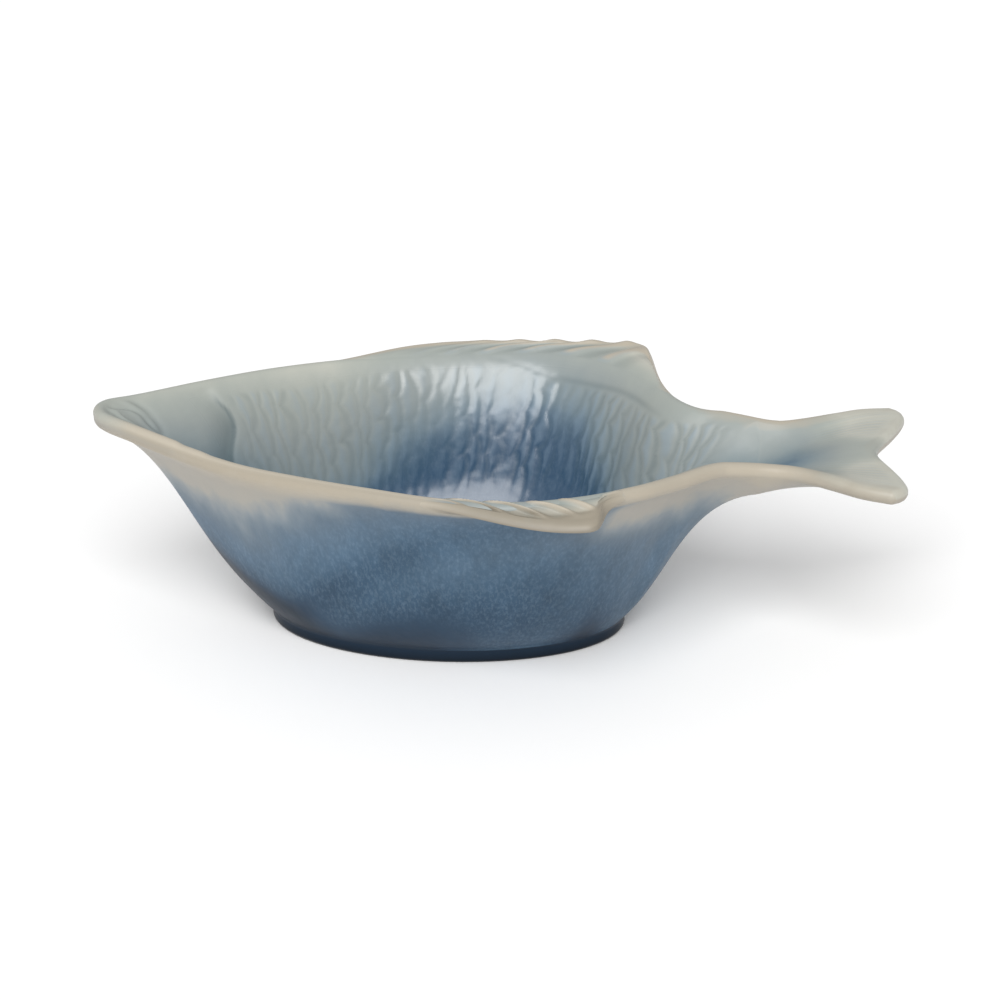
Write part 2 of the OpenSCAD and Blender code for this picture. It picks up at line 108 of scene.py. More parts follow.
# the bowl: rim outline as seen from above, wall sections, the relief on its inside and the run of its glaze
bowlShape = {
    "length": 262.0, "bodyWidth": 133.0, "rimHeight": 65.0, "wall": 5.0, "floor": 6.0, "rimOutShare": 0.3,
    "tailWall": [[0.34, 0.28], [0.44, 0.91]],
    "mouthWall": [[0.46, 0.24], [0.56, 0.91]],
    "sideWall": [[0.50, 0.22], [0.56, 0.80]],
    "troughPower": 2.5, "filletShare": 4 / 9, "floorShare": 0.4, "mouthTurn": 0.89, "stripWidth": 0.9,
    "underRows": [0.3, 0.6, 0.85], "outerRows": 28, "edgeRows": 12, "innerRows": 66, "filletRows": 30,
    "floorRows": 4, "fineSteps": 400,
    # half turns from the tail, then length, body width, root width and drop as shares
    "dorsalSide": [
        [0.08, 1, 0, 1, 1], [0.125, 0.944, 0.14, 0.7, 0.75], [0.18, 0.884, 0.335, 0.25, 0.5],
        [0.245, 0.83, 0.66, 0, 0.25], [0.325, 0.758, 0.89, 0, 0.1], [0.415, 0.665, 1, 0, 0],
        [0.515, 0.553, 0.98, 0, -0.05], [0.61, 0.442, 0.895, 0, -0.18], [0.7, 0.335, 0.765, 0, -0.28],
        [0.785, 0.237, 0.612, 0, -0.3], [0.86, 0.144, 0.427, 0, -0.22], [0.925, 0.064, 0.242, 0, -0.14],
        [0.97, 0.014, 0.112, 0, -0.2], [1, 0, 0, 0, -0.3]],
    "bellySide": [
        [0.08, 1, 0, 1, 1], [0.125, 0.944, 0.16, 0.7, 0.55], [0.18, 0.891, 0.49, 0.2, 0.3],
        [0.245, 0.833, 0.755, 0, -0.2], [0.325, 0.758, 0.92, 0, -0.4], [0.415, 0.665, 1, 0, -0.3],
        [0.515, 0.553, 0.98, 0, -0.2], [0.61, 0.442, 0.895, 0, -0.28], [0.7, 0.335, 0.765, 0, -0.05],
        [0.785, 0.237, 0.612, 0, 0.22], [0.86, 0.144, 0.427, 0, 0.1], [0.925, 0.064, 0.242, 0, -0.1],
        [0.97, 0.014, 0.112, 0, -0.2], [1, 0, 0, 0, -0.3]],
    # depth below the rim and distance along it from the mouth, for the gill and for the folds of the lip
    "gillLine": [[0, 41.5], [3, 41.4], [8, 40.8], [12.6, 42.3], [18.6, 41.4], [24.8, 36.9], [29, 34.2],
                 [40, 31]],
    "gillDeep": 0.8, "gillStep": 0.1, "gillReach": 9.0, "gillEdge": [-3.2, 2.2],
    "gillShown": [0.5, 4, 30, 42],
    "lipLines": [[[0, 12.6], [8.3, 12.6], [11.5, 11.7], [15.7, 10.8], [19.1, 9], [26, 5]],
                 [[0, 1], [4.4, 2.7], [7.2, 7.2], [10.4, 8.1], [14.8, 6.3], [19.5, 6.3], [26, 4]]],
    "lipDeep": 0.5, "lipWide": 2.0, "lipShown": [0.5, 3, 17, 25],
    "foldHigh": 0.8, "foldAt": 2.8, "foldWide": 2.0,
    # dark pools of glaze in front of the gill, on its edge, in the folds of the lip and in the crease
    "gillPool": 0.8, "gillPoolEnd": [-1, 0.8], "gillPoolShown": [4, 20, 34, 48],
    "edgePool": 0.6, "edgePoolAt": 0.5, "edgePoolWide": 0.9, "edgePoolShown": [3, 9, 28, 36],
    "foldPool": 0.12, "foldPoolWide": 1.6, "creasePool": 0.35,
    # the glaze is matt beside the gill and at the mouth, and glossy below the rim up to the root
    "gillMatt": 5.0, "mouthMatt": [10, 40], "mattShare": 0.9, "glossBelow": [0, 6], "glossEnd": [188, 222],
    # the tables below go by distance along the rim from the mouth; first the height of the lip's ridge
    "lipRidge": {"dorsal": [[0, 0.7], [6, 0.5], [14, 0]],
                 "belly": [[0, 0.7], [8, 0.9], [36, 1.1], [40.5, 1], [43.5, 0.45], [51, 0.4], [55, 0]]},
    "ridgeAt": 1.0, "ridgeWide": 1.9, "groove": 0.5, "grooveAt": 4.6, "grooveWide": 1.1,
    # depth of the crease below the rim, and how strong it is
    "creaseLine": [[128, 0], [138, 0.4], [148.5, 2.3], [166.5, 7.9], [184.5, 8.4], [198, 6.9], [211.4, 6.7],
                   [224, 6.5]],
    "creaseStrength": [[130, 0], [148, 0.3], [168, 0.8], [185, 1], [212, 1], [226, 0]],
    "creaseDeep": 0.2, "creaseWide": 1.1,
    # depth at which the scales begin
    "scaleTop": {
        "dorsal": [[0, 8], [54, 5.4], [73, 6.2], [92, 4.6], [110, 3.1], [124, 2], [148.5, 3.3], [166.5, 8.9],
                   [184.5, 9.4], [198, 7.9], [211.4, 7.7], [224, 7], [232, 4.5], [256, 4.5]],
        "belly": [[0, 8], [54, 5.8], [92, 5.5], [125, 4.5], [150, 6], [200, 6], [256, 5]]},
    # the glaze's run as a share of the depth, and its shift in millimetres
    "insideRun": [[0, 1, 9], [30, 1, 10], [60, 0.72, 14], [86, 0.72, 13], [112, 0.84, 3], [126, 0.92, 0],
                  [140, 1, -2], [160, 1.12, -4], [185, 0.98, 0], [200, 0.87, 4], [220, 0.82, 3],
                  [256, 0.7, -2]],
    # the same outside, with the share by which the run grows over the height before the shift
    "outsideRun": [[0, 0.45, 2.2, 8], [35, 0.45, 2.4, 8], [55, 0.5, 2.2, 8], [75, 0.8, 1, 6.5],
                   [95, 1, 0.35, 3], [110, 1, 0.2, -5], [125, 1, 0.1, -10], [140, 1, 0, -12],
                   [165, 1, -0.35, -10], [185, 1, -0.35, -6], [200, 1, 0, 5], [215, 1, 0.6, 5],
                   [256, 1, 0.8, 0]],
    "insideTop": -13.0, "floorTone": [36, 60], "floorToneRise": 20.0, "underTone": 90.0, "growthPower": 4,
    # near the root the tone turns from depth to the way across the trough
    "rootFrom": 195.0, "innerTurnIn": 0.6, "outerTurnIn": 0.5, "innerSpread": 0.8, "outerSpread": 0.2,
    # depth of a painted shadow of the belly fin that slants down the outside below it, with a paler band
    # beneath
    "finShadow": [[0, 80], [60, 62], [80, 50], [95, 42], [115, 30], [135, 17], [160, 7], [185, 3], [256, -20]],
    "finShadowTone": 12.0, "finShadowWide": 8.0, "paleBand": 0.6, "paleBandAt": 17.0, "paleBandWide": 11.0,
    # how far the cream hangs down the outside from the near rim
    "creamHang": [[0, 3], [20, 5.5], [45, 7.5], [70, 6.5], [95, 4.5], [115, 2.8], [140, 2.2], [195, 2.8],
                  [256, 2.2]],
    "outerCream": 0.8, "outerDimCream": 0.1, "innerCream": 0.6, "creamWide": 2.0,
    # round the rim's edge from its outer to its inner end: the cream, and on its near side a darker cream
    # that is painted shade on the turn of the rim, left off along the crest as a painted highlight
    "creamRound": [[0, 0.8], [0.25, 0.9], [0.45, 1], [0.8, 1], [1, 0.6]],
    "creamShadeRound": [[0, 0.1], [0.25, 0.4], [0.55, 0.5], [0.68, 0], [0.85, 0], [1, 0.2]],
    "farCream": 0.4, "mouthCream": 0.45, "mouthFade": [5, 30], "rootFade": [225, 245],
    # a little darker cream lies everywhere; on the near rim it is painted shade, fading out towards the root
    "worn": 0.2, "nearShadeLoss": 0.8, "nearShadeEnd": [180, 200], "finFrom": 0.3, "insideRound": [0.35, 0.75],
    # where the near rim's turn into the wall is shaded softly
    "softTurn": [0, 12, 90, 120],
}
footShape = {"length": 116.0, "width": 69.0, "height": 4.5, "ring": 7.0, "round": 1.5, "shift": 16.0,
             "steps": 240, "roundSteps": 6, "bareBelow": 0.05, "hollow": 0.8}
tailShape = {
    "length": 47.0, "rootWidth": 40.0, "width": 67.0, "thick": 5.0, "notch": 9.0, "trough": 12.0,
    "rootDrop": 3.0, "tipDrop": 1.5, "steps": 80, "endSteps": 8, "endTurn": 80.0,
    "side": [[0, 0], [0.2, 0.03], [0.4, 0.22], [0.6, 0.52], [0.8, 0.84], [1, 1]],
    "end": [[0, 0], [0.15, 0.12], [0.45, 0.58], [0.7, 0.9], [0.86, 1], [0.95, 0.92], [1, 0.68]],
    "troughRun": [[0, 1], [0.25, 0.68], [0.5, 0.38], [0.75, 0.16], [1, 0.04]],
    "ownFrom": [0, 0.2], "tipsFrom": [0.75, 0.95],
    "rays": 14, "raySpread": 1.1, "rayHeight": 0.36, "sharp": 1.2, "level": 0.4, "crest": 0.6, "pool": 1.0,
    "rayShown": [0.2, 0.6, 0.9, 1], "rayAcross": [0.15, 0.4, 0.9, 1],
    # run of the glaze in the trough, on the lobes, at the end and underneath, and where along the tail
    "tone": 3.0, "troughTone": 25.0, "troughSpread": 1.1, "troughFade": [0.3, 0.85],
    "lobeTone": -26.0, "lobeFrom": [0.2, 0.8], "lobeAcross": [0.1, 0.6],
    "endTone": -12.0, "endFrom": [0.6, 1],
    "underTone": 6.0, "underLoss": -16.0, "underFrom": [0.2, 0.7], "bowlFade": [0, 0.45],
    "cream": 0.7, "creamWide": 2.2, "creamLoss": 0.25, "creamFade": [0.15, 0.6],
    # the tail's darker cream: more at its ends, and along its near edge as painted shade
    "endCream": 0.35, "endCreamFrom": [0.85, 1], "worn": 0.25, "tailEdgeDim": 0.3, "nearShadeFrom": [0.2, 0.6],
}
# a fin's rows are its place along the span from the tail, reach and sweep; rays go by place, and across
# the fin by millimetres from the inside of the rim
finShape = {
    "reach": 5.5, "thick": 4.0, "sweep": 6.0, "fade": 4, "embed": 0.15, "sink": 0.06,
    "topSteps": 26, "noseSteps": 12, "underSteps": 12, "rimSteps": 18, "rimFrom": 0.95, "rimTo": 0.06,
    "tipPlace": 0.17, "tipWide": 0.08, "topPlace": 5 / 6, "underPlace": 1 / 6, "inner": 0.4,
    # handles of the curves as shares of their length, over the fin and under it
    "riseHandle": 0.4, "edgeHandle": 0.3, "lowHandle": 0.35, "footHandle": 0.25,
    # the glaze thins outwards, most at the fin's rear, and breaks to cream at its edge and its ends
    "thinning": 0.5, "rearThinning": 1.3, "rearPart": [0.1, 0.45], "topWide": 8.0, "bandShadeFrom": [0.72, 0.9],
    "rimCream": [[0, 0.7], [0.3, 1], [0.9, 1], [1, 0.75]],
    "leanPower": 1.5, "rayStart": [0.02, 0.08], "noseFade": [0.1, 0.6], "shadeReach": 2.5,
    "dorsal": {
        "span": [0.190, 0.715], "side": 1, "lift": 1.5, "scallop": 0.25, "ray": 0.3, "creamWide": 2.6,
        "rayHeight": 1.0, "sharp": 1.4, "level": 0.45, "crest": 1.0, "pool": 1.0, "lean": 0.13, "bulge": 0.0,
        "worn": 0.2, "tipRounds": 90, "rayNose": 0.6,
        "rayAcross": [[0, 0], [0.6, 0.4], [2.5, 1], [9, 1]],
        "rows": [[0, 0, 0], [0.05, 0.08, -0.1], [0.08, 0.2, -0.3], [0.11, 0.46, -0.4], [0.145, 0.8, -0.05],
                 [0.19, 0.97, 0.35], [0.3, 0.98, 0.8], [0.45, 0.88, 1], [0.62, 0.75, 1], [0.8, 0.45, 0.6],
                 [0.92, 0.15, 0.2], [1, 0, 0]],
        "rayPlaces": [[0, -1.5], [0.165, 0], [0.275, 1], [0.386, 2], [0.484, 3], [0.575, 4],
                      [0.66, 5], [1, 8.5]],
        "rayFade": [[-0.1, 0], [0.06, 0], [0.13, 1], [0.5, 1], [0.6, 0.6], [0.7, 0.15], [0.78, 0], [1, 0]]},
    "belly": {
        "span": [0.268, 0.545], "side": -1, "lift": -3.0, "scallop": 0.0, "ray": 0.0, "creamWide": 6.0,
        "rayHeight": 1.6, "sharp": 3.2, "level": 0.92, "crest": 1.0, "pool": 0.4, "lean": 0.24, "bulge": 3.0,
        # its outer band takes much of the darker cream, as painted shade
        "worn": 0.9, "tipRounds": 0, "rayNose": 0.0,
        "rayAcross": [[0, 0], [0.4, 0.3], [1.6, 1], [9.2, 1], [11.4, 0]],
        "rows": [[0, 0, 0], [0.05, 0.27, -0.5], [0.1, 0.58, -0.2], [0.16, 0.83, 0.15], [0.25, 0.97, 0.5],
                 [0.4, 1, 0.8], [0.55, 0.88, 1], [0.75, 0.42, 0.6], [0.9, 0.12, 0.2], [1, 0, 0]],
        "rayPlaces": [[0, -0.7], [0.09, 0], [0.246, 1], [0.455, 2], [0.66, 3], [0.81, 4],
                      [0.94, 5], [1, 5.5]],
        "rayFade": [[-0.25, 0], [-0.1, 0.7], [0.1, 1], [0.7, 1], [0.85, 0.5], [0.95, 0], [1, 0]]},
}

mouthX = -bowlShape["length"] / 2 + bowlShape["rimOutShare"] * bowlShape["wall"]
rootX = bowlShape["length"] / 2 - tailShape["length"]
tipX = bowlShape["length"] / 2 - tailShape["thick"] / 2
floorZ = footShape["height"] + bowlShape["floor"]
rootTurn, mouthTurn = bowlShape["dorsalSide"][0][0], bowlShape["mouthTurn"]


# a side's table goes one row past the mouth, so that its curve runs on there
def pastMouth(rows):
    turn, length, body, root, drop = rows[-2]
    return rows + [[2 - turn, length, -body, root, drop]]


rimTables = {1: pastMouth(bowlShape["dorsalSide"]), -1: pastMouth(bowlShape["bellySide"])}


# outer edge of the rim; turns are in half turns, from the root round the dorsal side and back
def rimPoint(turn):
    t = np.where(turn > 1, turn - 2, turn)
    out = np.zeros((len(t), 3))
    for sign, table in rimTables.items():
        k = (t * sign >= rootTurn) | ((np.abs(t) >= 1) & (sign > 0))
        row = curveThrough(table, np.abs(t[k]))
        out[k, 0] = mouthX + row[:, 1] * (rootX - mouthX)
        out[k, 1] = sign * (row[:, 2] * bowlShape["bodyWidth"] + row[:, 3] * tailShape["rootWidth"]) / 2
        out[k, 2] = bowlShape["rimHeight"] - row[:, 4] * tailShape["rootDrop"]
    k = np.abs(t) < rootTurn
    across = t[k] / rootTurn
    out[k, 0] = rootX
    out[k, 1] = across * tailShape["rootWidth"] / 2
    out[k, 2] = (bowlShape["rimHeight"] - tailShape["rootDrop"]
                 - tailShape["trough"] * (1 - np.abs(across) ** bowlShape["troughPower"]))
    return out


def evenTurns(start, end):
    fine = np.linspace(start, end, bowlShape["fineSteps"])
    way = lengthAlong(rimPoint(fine))
    count = max(2, int(round(way[-1] / bowlShape["stripWidth"])))
    return np.interp(np.arange(count) / count * way[-1], way, fine)


dorsalSpan, bellySpan = finShape["dorsal"]["span"], finShape["belly"]["span"]
stops = [-rootTurn, rootTurn, *dorsalSpan, mouthTurn,
         2 - mouthTurn, 2 - bellySpan[1], 2 - bellySpan[0], 2 - rootTurn]
segments = [evenTurns(a, b) for a, b in zip(stops, stops[1:])]
fins = {"dorsalFin": (finShape["dorsal"], 2), "bellyFin": (finShape["belly"], 6)}  # with the segment of each
turns = np.concatenate(segments)
firsts = np.concatenate([[0], np.cumsum([len(s) for s in segments])])
strips, rootCount = len(turns), len(segments[0])
angle = turns * math.pi
dorsalSide = (turns > 0) & (turns <= 1)
rimLine = rimPoint(turns)
footLine = np.stack([footShape["length"] / 2 * np.cos(angle) - footShape["shift"],
                     footShape["width"] / 2 * np.sin(angle), np.full(strips, footShape["height"])], 1)


def outerRow(s):
    forward, sideways = ((1 - np.cos(angle)) / 2)[:, None], (np.sin(angle) ** 2)[:, None]
    toTail, toMouth, toSide = [np.array(bowlShape[key])[:, None]
                               for key in ("tailWall", "mouthWall", "sideWall")]
    a, b = blend(blend(toTail, toMouth, forward), toSide, sideways)
    share = 3 * (1 - s) ** 2 * s * a + 3 * (1 - s) * s ** 2 * b + s ** 3
    return blend(footLine, rimLine, share[:, [0, 0, 1]])


def intoBowl(s, step=0.01):
    row = outerRow(s)
    roundWay = np.roll(row, -1, 0) - np.roll(row, 1, 0)
    return unit(np.cross(outerRow(min(s + step, 1)) - outerRow(max(s - step, 0)), roundWay))


def innerRow(s):
    return outerRow(s) + bowlShape["wall"] * intoBowl(s)


innerTop = innerRow(1.0)
rimMiddle = (rimLine + innerTop) / 2


# the way out of the bowl at its rim; the root has none, and its corners look along the tail's sides
def rimOuts():
    way = np.roll(rimLine, -1, 0) - np.roll(rimLine, 1, 0)
    way[rootCount] = unit(rimLine[rootCount + 1] - rimLine[rootCount]) - [1, 0, 0]
    way[0] = unit(rimLine[0] - rimLine[-1]) + [1, 0, 0]
    out = unit(np.cross(way, innerTop - rimLine))
    out[1:rootCount] = 0
    return out


rimOut = rimOuts()


# a point round the rim's rounded edge, 0 at its outer and 1 at its inner end
def rimEdge(share):
    half = rimLine - rimMiddle
    return (rimMiddle + half * math.cos(math.pi * share)
            + rimOut * np.linalg.norm(half, axis=1)[:, None] * math.sin(math.pi * share))


# distance along the rim from the mouth, the same way on both sides
def alongRim():
    mouth = int(np.abs(turns - 1).argmin())
    way = np.zeros(strips)
    way[rootCount:mouth + 1] = lengthAlong(rimLine[rootCount:mouth + 1][::-1])[::-1]
    nearWay = lengthAlong(np.concatenate([rimLine[mouth:], rimLine[:1]]))
    way[mouth:], way[0] = nearWay[:-1], nearWay[-1]
    way[1:rootCount] = np.interp(np.arange(1, rootCount), [0, rootCount], [way[0], way[rootCount]])
    return way


# the wall's line is carried down to the floor, and the corner is rounded
def filletRow(s, step=0.02):
    start = innerRow(bowlShape["filletShare"])
    down = start - innerRow(bowlShape["filletShare"] + step)
    corner = start + down * ((floorZ - start[:, 2]) / down[:, 2])[:, None]
    end = blend(np.array([-footShape["shift"], 0, 0]), footLine, bowlShape["floorShare"])
    end[:, 2] = floorZ
    return start * (1 - s) ** 2 + corner * 2 * s * (1 - s) + end * s ** 2


along = alongRim()
innerShares = np.linspace(1, bowlShape["filletShare"], bowlShape["innerRows"] + 1)
filletShares = np.arange(1, bowlShape["filletRows"] + 1) / bowlShape["filletRows"]
outerRowsAt = np.array([outerRow(s) for s in np.linspace(0, 1, bowlShape["outerRows"] + 1)])
innerRowsAt = np.array([innerRow(s) for s in innerShares] + [filletRow(s) for s in filletShares])
innerWays = unit(np.cross(np.roll(innerRowsAt, -1, 1) - np.roll(innerRowsAt, 1, 1),
                          np.gradient(innerRowsAt, axis=0)))
innerWays[:len(innerShares)] = [intoBowl(s) for s in innerShares]
innerDepth = lengthAlong(innerRowsAt)
outerDepth = lengthAlong(outerRowsAt[::-1])[::-1]


# gill, lip and crease as heights over the smooth inside, the dark pools of glaze that lie in them, and where
# the glaze is matt
def insideRelief(look, depth):
    gap = along - smoothAt(look["gillLine"], depth)
    away = bump(np.minimum(gap, 0), look["gillReach"])
    behind = look["gillStep"] * np.exp(-np.maximum(gap, 0) / look["gillReach"])
    step = smoothStep(*look["gillEdge"], gap)
    gill = (behind * step - look["gillDeep"] * away * (1 - step)) * within(look["gillShown"], depth)
    crease = bump(depth - smoothAt(look["creaseLine"], along), look["creaseWide"])
    crease = crease * tableAt(look["creaseStrength"], along) * dorsalSide
    front = away * falling(*look["gillPoolEnd"], gap) * within(look["gillPoolShown"], depth)
    edge = bump(gap + look["edgePoolAt"], look["edgePoolWide"]) * within(look["edgePoolShown"], depth)
    pool = look["gillPool"] * front + look["edgePool"] * edge + look["creasePool"] * crease
    height = gill - look["creaseDeep"] * crease
    shown = within(look["lipShown"], depth)
    for line in look["lipLines"]:
        side = along - smoothAt(line, depth)
        fold = look["foldHigh"] * bump(side + look["foldAt"], look["foldWide"]) - bump(side, look["lipWide"])
        height = height + look["lipDeep"] * shown * fold
        pool = pool + look["foldPool"] * bump(side, look["foldPoolWide"]) * shown
    matt = np.maximum(bump(gap, look["gillMatt"]), falling(*look["mouthMatt"], along))
    return height, np.clip(pool, 0, 1), matt


# below the rim the two corners of the root are eased into the walls beside them
def easedCorners(rows, rounds=60, wide=14.0, below=(1, 12)):
    places = np.arange(strips) + strips // 2
    gaps = [np.abs((places - corner) % strips - strips // 2) for corner in (0, rootCount)]
    soft = (easing * bump(np.minimum(*gaps), wide) * smoothStep(*below, innerDepth))[:, :, None]
    for _ in range(rounds):
        rows = rows + soft * (np.roll(rows, 1, 1) - 2 * rows + np.roll(rows, -1, 1))
    return rows


def bySide(tables):
    return np.where(dorsalSide, tableAt(tables["dorsal"], along), tableAt(tables["belly"], along))


# the lip is a ridge on the inner side of the rim with a groove outside it; away counts from the inner edge
def lipRise(away):
    ridge, groove = [bump(away - bowlShape[key + "At"], bowlShape[key + "Wide"])
                     for key in ("ridge", "groove")]
    return bySide(bowlShape["lipRidge"]) * (ridge - bowlShape["groove"] * groove)


reliefAt, poolAt, mattAt = insideRelief(bowlShape, innerDepth)
innerShaped = easedCorners(innerRowsAt + reliefAt[:, :, None] * innerWays)
innerShaped = innerShaped + lipRise(-innerDepth)[:, :, None] * innerWays
# the glaze is thick and glossy in the body, thin and satin at the rim, the lip and the root
glossAt = (smoothStep(*bowlShape["glossBelow"], innerDepth) * falling(*bowlShape["glossEnd"], along)
           * (1 - bowlShape["mattShare"] * mattAt))

# near the root the wall runs lengthways, and depth is counted from the sides of the trough
rootAcross = np.linspace(-1, 1, rootCount + 1)
rootTurnIn = smoothStep(bowlShape["rootFrom"], along[rootCount], along)
rootSpread = np.zeros(strips)
rootSpread[:rootCount] = tailShape["rootWidth"] * (1 - np.abs(rootAcross[:-1]))
innerLevel = innerDepth * (1 - bowlShape["innerTurnIn"] * rootTurnIn) + bowlShape["innerSpread"] * rootSpread
outerLevel = outerDepth * (1 - bowlShape["outerTurnIn"] * rootTurnIn) + bowlShape["outerSpread"] * rootSpread
runShare, runShift = [tableAt(bowlShape["insideRun"], along, k) for k in (1, 2)]
innerTone = np.maximum(innerLevel * runShare - runShift, bowlShape["insideTop"])
innerTone = blend(innerTone, innerDepth, smoothStep(*bowlShape["floorTone"], innerDepth))
runShare, runGrowth, runShift = [tableAt(bowlShape["outsideRun"], along, k) for k in (1, 2, 3)]
# the belly fin's painted shadow darkens the outside along that slanting line, with a paler band below it
finShadowGap = outerLevel - tableAt(bowlShape["finShadow"], along)
paleBand = bowlShape["paleBand"] * bump(finShadowGap - bowlShape["paleBandAt"], bowlShape["paleBandWide"])
finShadow = (bump(finShadowGap, bowlShape["finShadowWide"]) - paleBand) * ~dorsalSide
grown = runGrowth * (outerLevel / bowlShape["rimHeight"]) ** bowlShape["growthPower"]
outerTone = outerLevel * (runShare + grown) - runShift + bowlShape["finShadowTone"] * finShadow

# sizes of the scales in millimetres; the last two lines are how unevenly they grew
scaleShape = {
    "long": 5.4, "tall": 14.0, "rootLong": 3.8, "rootTall": 7.0, "relief": 0.26, "bow": 0.6, "wander": 0.45,
    "slant": 0.45, "rootPart": [190, 235], "rimReach": 300.0, "fineSteps": 1200,
    "gillGap": [1, 7], "topFade": [-0.5, 2.5], "lowFade": [38, 54], "endFade": [238, 250],
    "strength": [[40, 0.7], [90, 0.65], [110, 0.6], [155, 0.65], [190, 1], [230, 1.1], [256, 1]],
    "driftScale": 0.45, "liftScale": 0.31, "liftAside": (17.0, 5.0, 3.0), "driftReach": 4.0, "liftReach": 3.0,
    "uneven": 2.4, "narrow": 0.9, "narrowest": 0.05,
}


# columns of scales run with the wall's sections and, near the root, across the trough
def scalePlaces():
    way = along - scaleShape["slant"] * rootTurnIn * innerDepth
    grid = np.linspace(0, scaleShape["rimReach"], scaleShape["fineSteps"])
    long, tall = [blend(scaleShape[key], scaleShape[rootKey], smoothStep(*scaleShape["rootPart"], place))
                  for key, rootKey, place in (("long", "rootLong", grid), ("tall", "rootTall", way))]
    mask = (smoothStep(*scaleShape["gillGap"], along - tableAt(bowlShape["gillLine"], innerDepth))
            * tableAt(scaleShape["strength"], along)
            * smoothStep(*scaleShape["topFade"], innerDepth - bySide(bowlShape["scaleTop"]))
            * falling(*scaleShape["lowFade"], innerDepth) * falling(*scaleShape["endFade"], way))
    return np.interp(way, grid, np.cumsum(1 / long) * grid[1]), innerLevel / tall, mask


scaleColumn, scaleLobe, scaleMask = scalePlaces()


# faces between rows of closed loops, and from a loop to a pole
def skinFaces(rowCount, n):
    j, i = np.meshgrid(np.arange(rowCount - 1), np.arange(n), indexing="ij")
    a, b = (j * n + i).ravel(), (j * n + (i + 1) % n).ravel()
    return np.stack([a, b, b + n, a + n], 1)


def fanFaces(first, n, pole, flip):
    a, b = first + np.arange(n), first + (np.arange(n) + 1) % n
    return np.stack([b, a, np.full(n, pole)] if flip else [a, b, np.full(n, pole)], 1)


# a cap across a thin loop, whose points from its first half lie opposite those of its second
def ladderFaces(first, n, shift, flip):
    k = np.arange(n // 2 - 1)
    f = first + (np.stack([k, k + 1, n - 2 - k, n - 1 - k], 1) - shift) % n
    return f[:, ::-1] if flip else f


def faceNormals(points, f):
    return np.cross(points[f[:, 2]] - points[f[:, 0]], points[f[:, -1]] - points[f[:, 1]])


def vertexNormals(points, faces, hidden):
    total = np.zeros_like(points)
    for f, h in zip(faces, hidden):
        normals = np.where(h[:, None], 0, faceNormals(points, f))
        for k in range(f.shape[1]):
            np.add.at(total, f[:, k], normals)
    return unit(total)


# parts are rows of points with their attributes
def makeMesh(name, parts, faces):
    points = np.concatenate([p["points"] for p in parts])
    if sum((points[f[:, 0]] * faceNormals(points, f)).sum() for f in faces) < 0:
        faces = [f[:, ::-1] for f in faces]
    mesh = bpy.data.meshes.new(name)
    mesh.from_pydata((points / 1000).tolist(), [], [f for block in faces for f in block.tolist()])
    for key in parts[0].keys() - {"points"}:
        values = np.concatenate([np.broadcast_to(p[key], len(p["points"])) for p in parts])
        mesh.attributes.new(key, "FLOAT", "POINT").data.foreach_set("value", values.astype(np.float32))
    mesh.shade_smooth()
    print("stage:", name, "shaped,", sum(len(f) * (f.shape[1] - 2) for f in faces), "triangles")
    return mesh, faces


# where the fins carry the inside on over the rim
finCover = np.zeros(strips)
for fin, segment in fins.values():
    place = np.arange(len(segments[segment])) / len(segments[segment])
    reach = curveThrough(fin["rows"], place if fin["side"] > 0 else 1 - place)[:, 1]
    finCover[firsts[segment]:firsts[segment + 1]] = 1 - (1 - reach) ** finShape["fade"]
# the far rim and the mouth stay greyer
creamAlong = np.where(dorsalSide, bowlShape["farCream"], 1.0)
creamAlong = creamAlong * blend(bowlShape["mouthCream"], 1, smoothStep(*bowlShape["mouthFade"], along))
creamAlong = blend(creamAlong, 1, smoothStep(*bowlShape["rootFade"], along))
bowlKeys = ("inside", "depth", "edge", "relief", "column", "lobe", "scaleMask", "gloss", "pool", "worn")


def bowlRing(points, **own):
    return {"points": points, **dict.fromkeys(bowlKeys, 0.0), **own}


def bowlParts(look):
    under = np.array([-footShape["shift"], 0, footShape["height"]])
    floor = np.array([-footShape["shift"], 0, floorZ])
    deep, worn = look["underTone"], look["worn"]
    parts = [bowlRing(blend(under, footLine, share), depth=deep) for share in look["underRows"]]
    hang = tableAt(look["creamHang"], along)
    for row, level, tone in zip(outerRowsAt, outerLevel, outerTone):
        parts.append(bowlRing(row, depth=tone, edge=look["outerCream"] * bump(level, hang) * creamAlong,
                              worn=look["outerDimCream"] * bump(level, look["creamWide"])))
    # on the near rim the darker cream is painted shade, with the crest left bright as a painted highlight
    near = ~dorsalSide * (1 - look["nearShadeLoss"] * smoothStep(*look["nearShadeEnd"], along))
    for share in np.arange(1, look["edgeRows"]) / look["edgeRows"]:
        row = rimEdge(share)
        lip = lipRise(math.pi * look["wall"] / 2 * (1 - share))
        covered = finCover * (share > look["finFrom"])
        parts.append(bowlRing(
            row + lip[:, None] * unit(row - rimMiddle), relief=np.minimum(lip, 0),
            inside=np.maximum(smoothStep(*look["insideRound"], share), covered),
            depth=blend(outerTone[-1], innerTone[0], np.maximum(share, covered)),
            edge=tableAt(look["creamRound"], share) * creamAlong * (1 - covered),
            worn=blend(worn, tableAt(look["creamShadeRound"], share), near)))
    for k, row in enumerate(innerShaped):
        cream = look["innerCream"] * bump(innerLevel[k], look["creamWide"]) * (1 - finCover) * creamAlong
        parts.append(bowlRing(row, inside=1.0, depth=innerTone[k], edge=cream, gloss=glossAt[k],
                              pool=poolAt[k], worn=worn, column=scaleColumn[k], lobe=scaleLobe[k],
                              scaleMask=scaleMask[k]))
    for share in np.arange(1, look["floorRows"]) / look["floorRows"]:
        parts.append(bowlRing(blend(innerShaped[-1], floor, share), inside=1.0, gloss=1.0,
                              depth=innerTone[-1] + look["floorToneRise"] * share))
    poles = [bowlRing(under[None], depth=deep), bowlRing(floor[None], inside=1.0, depth=deep, gloss=1.0)]
    return parts, poles


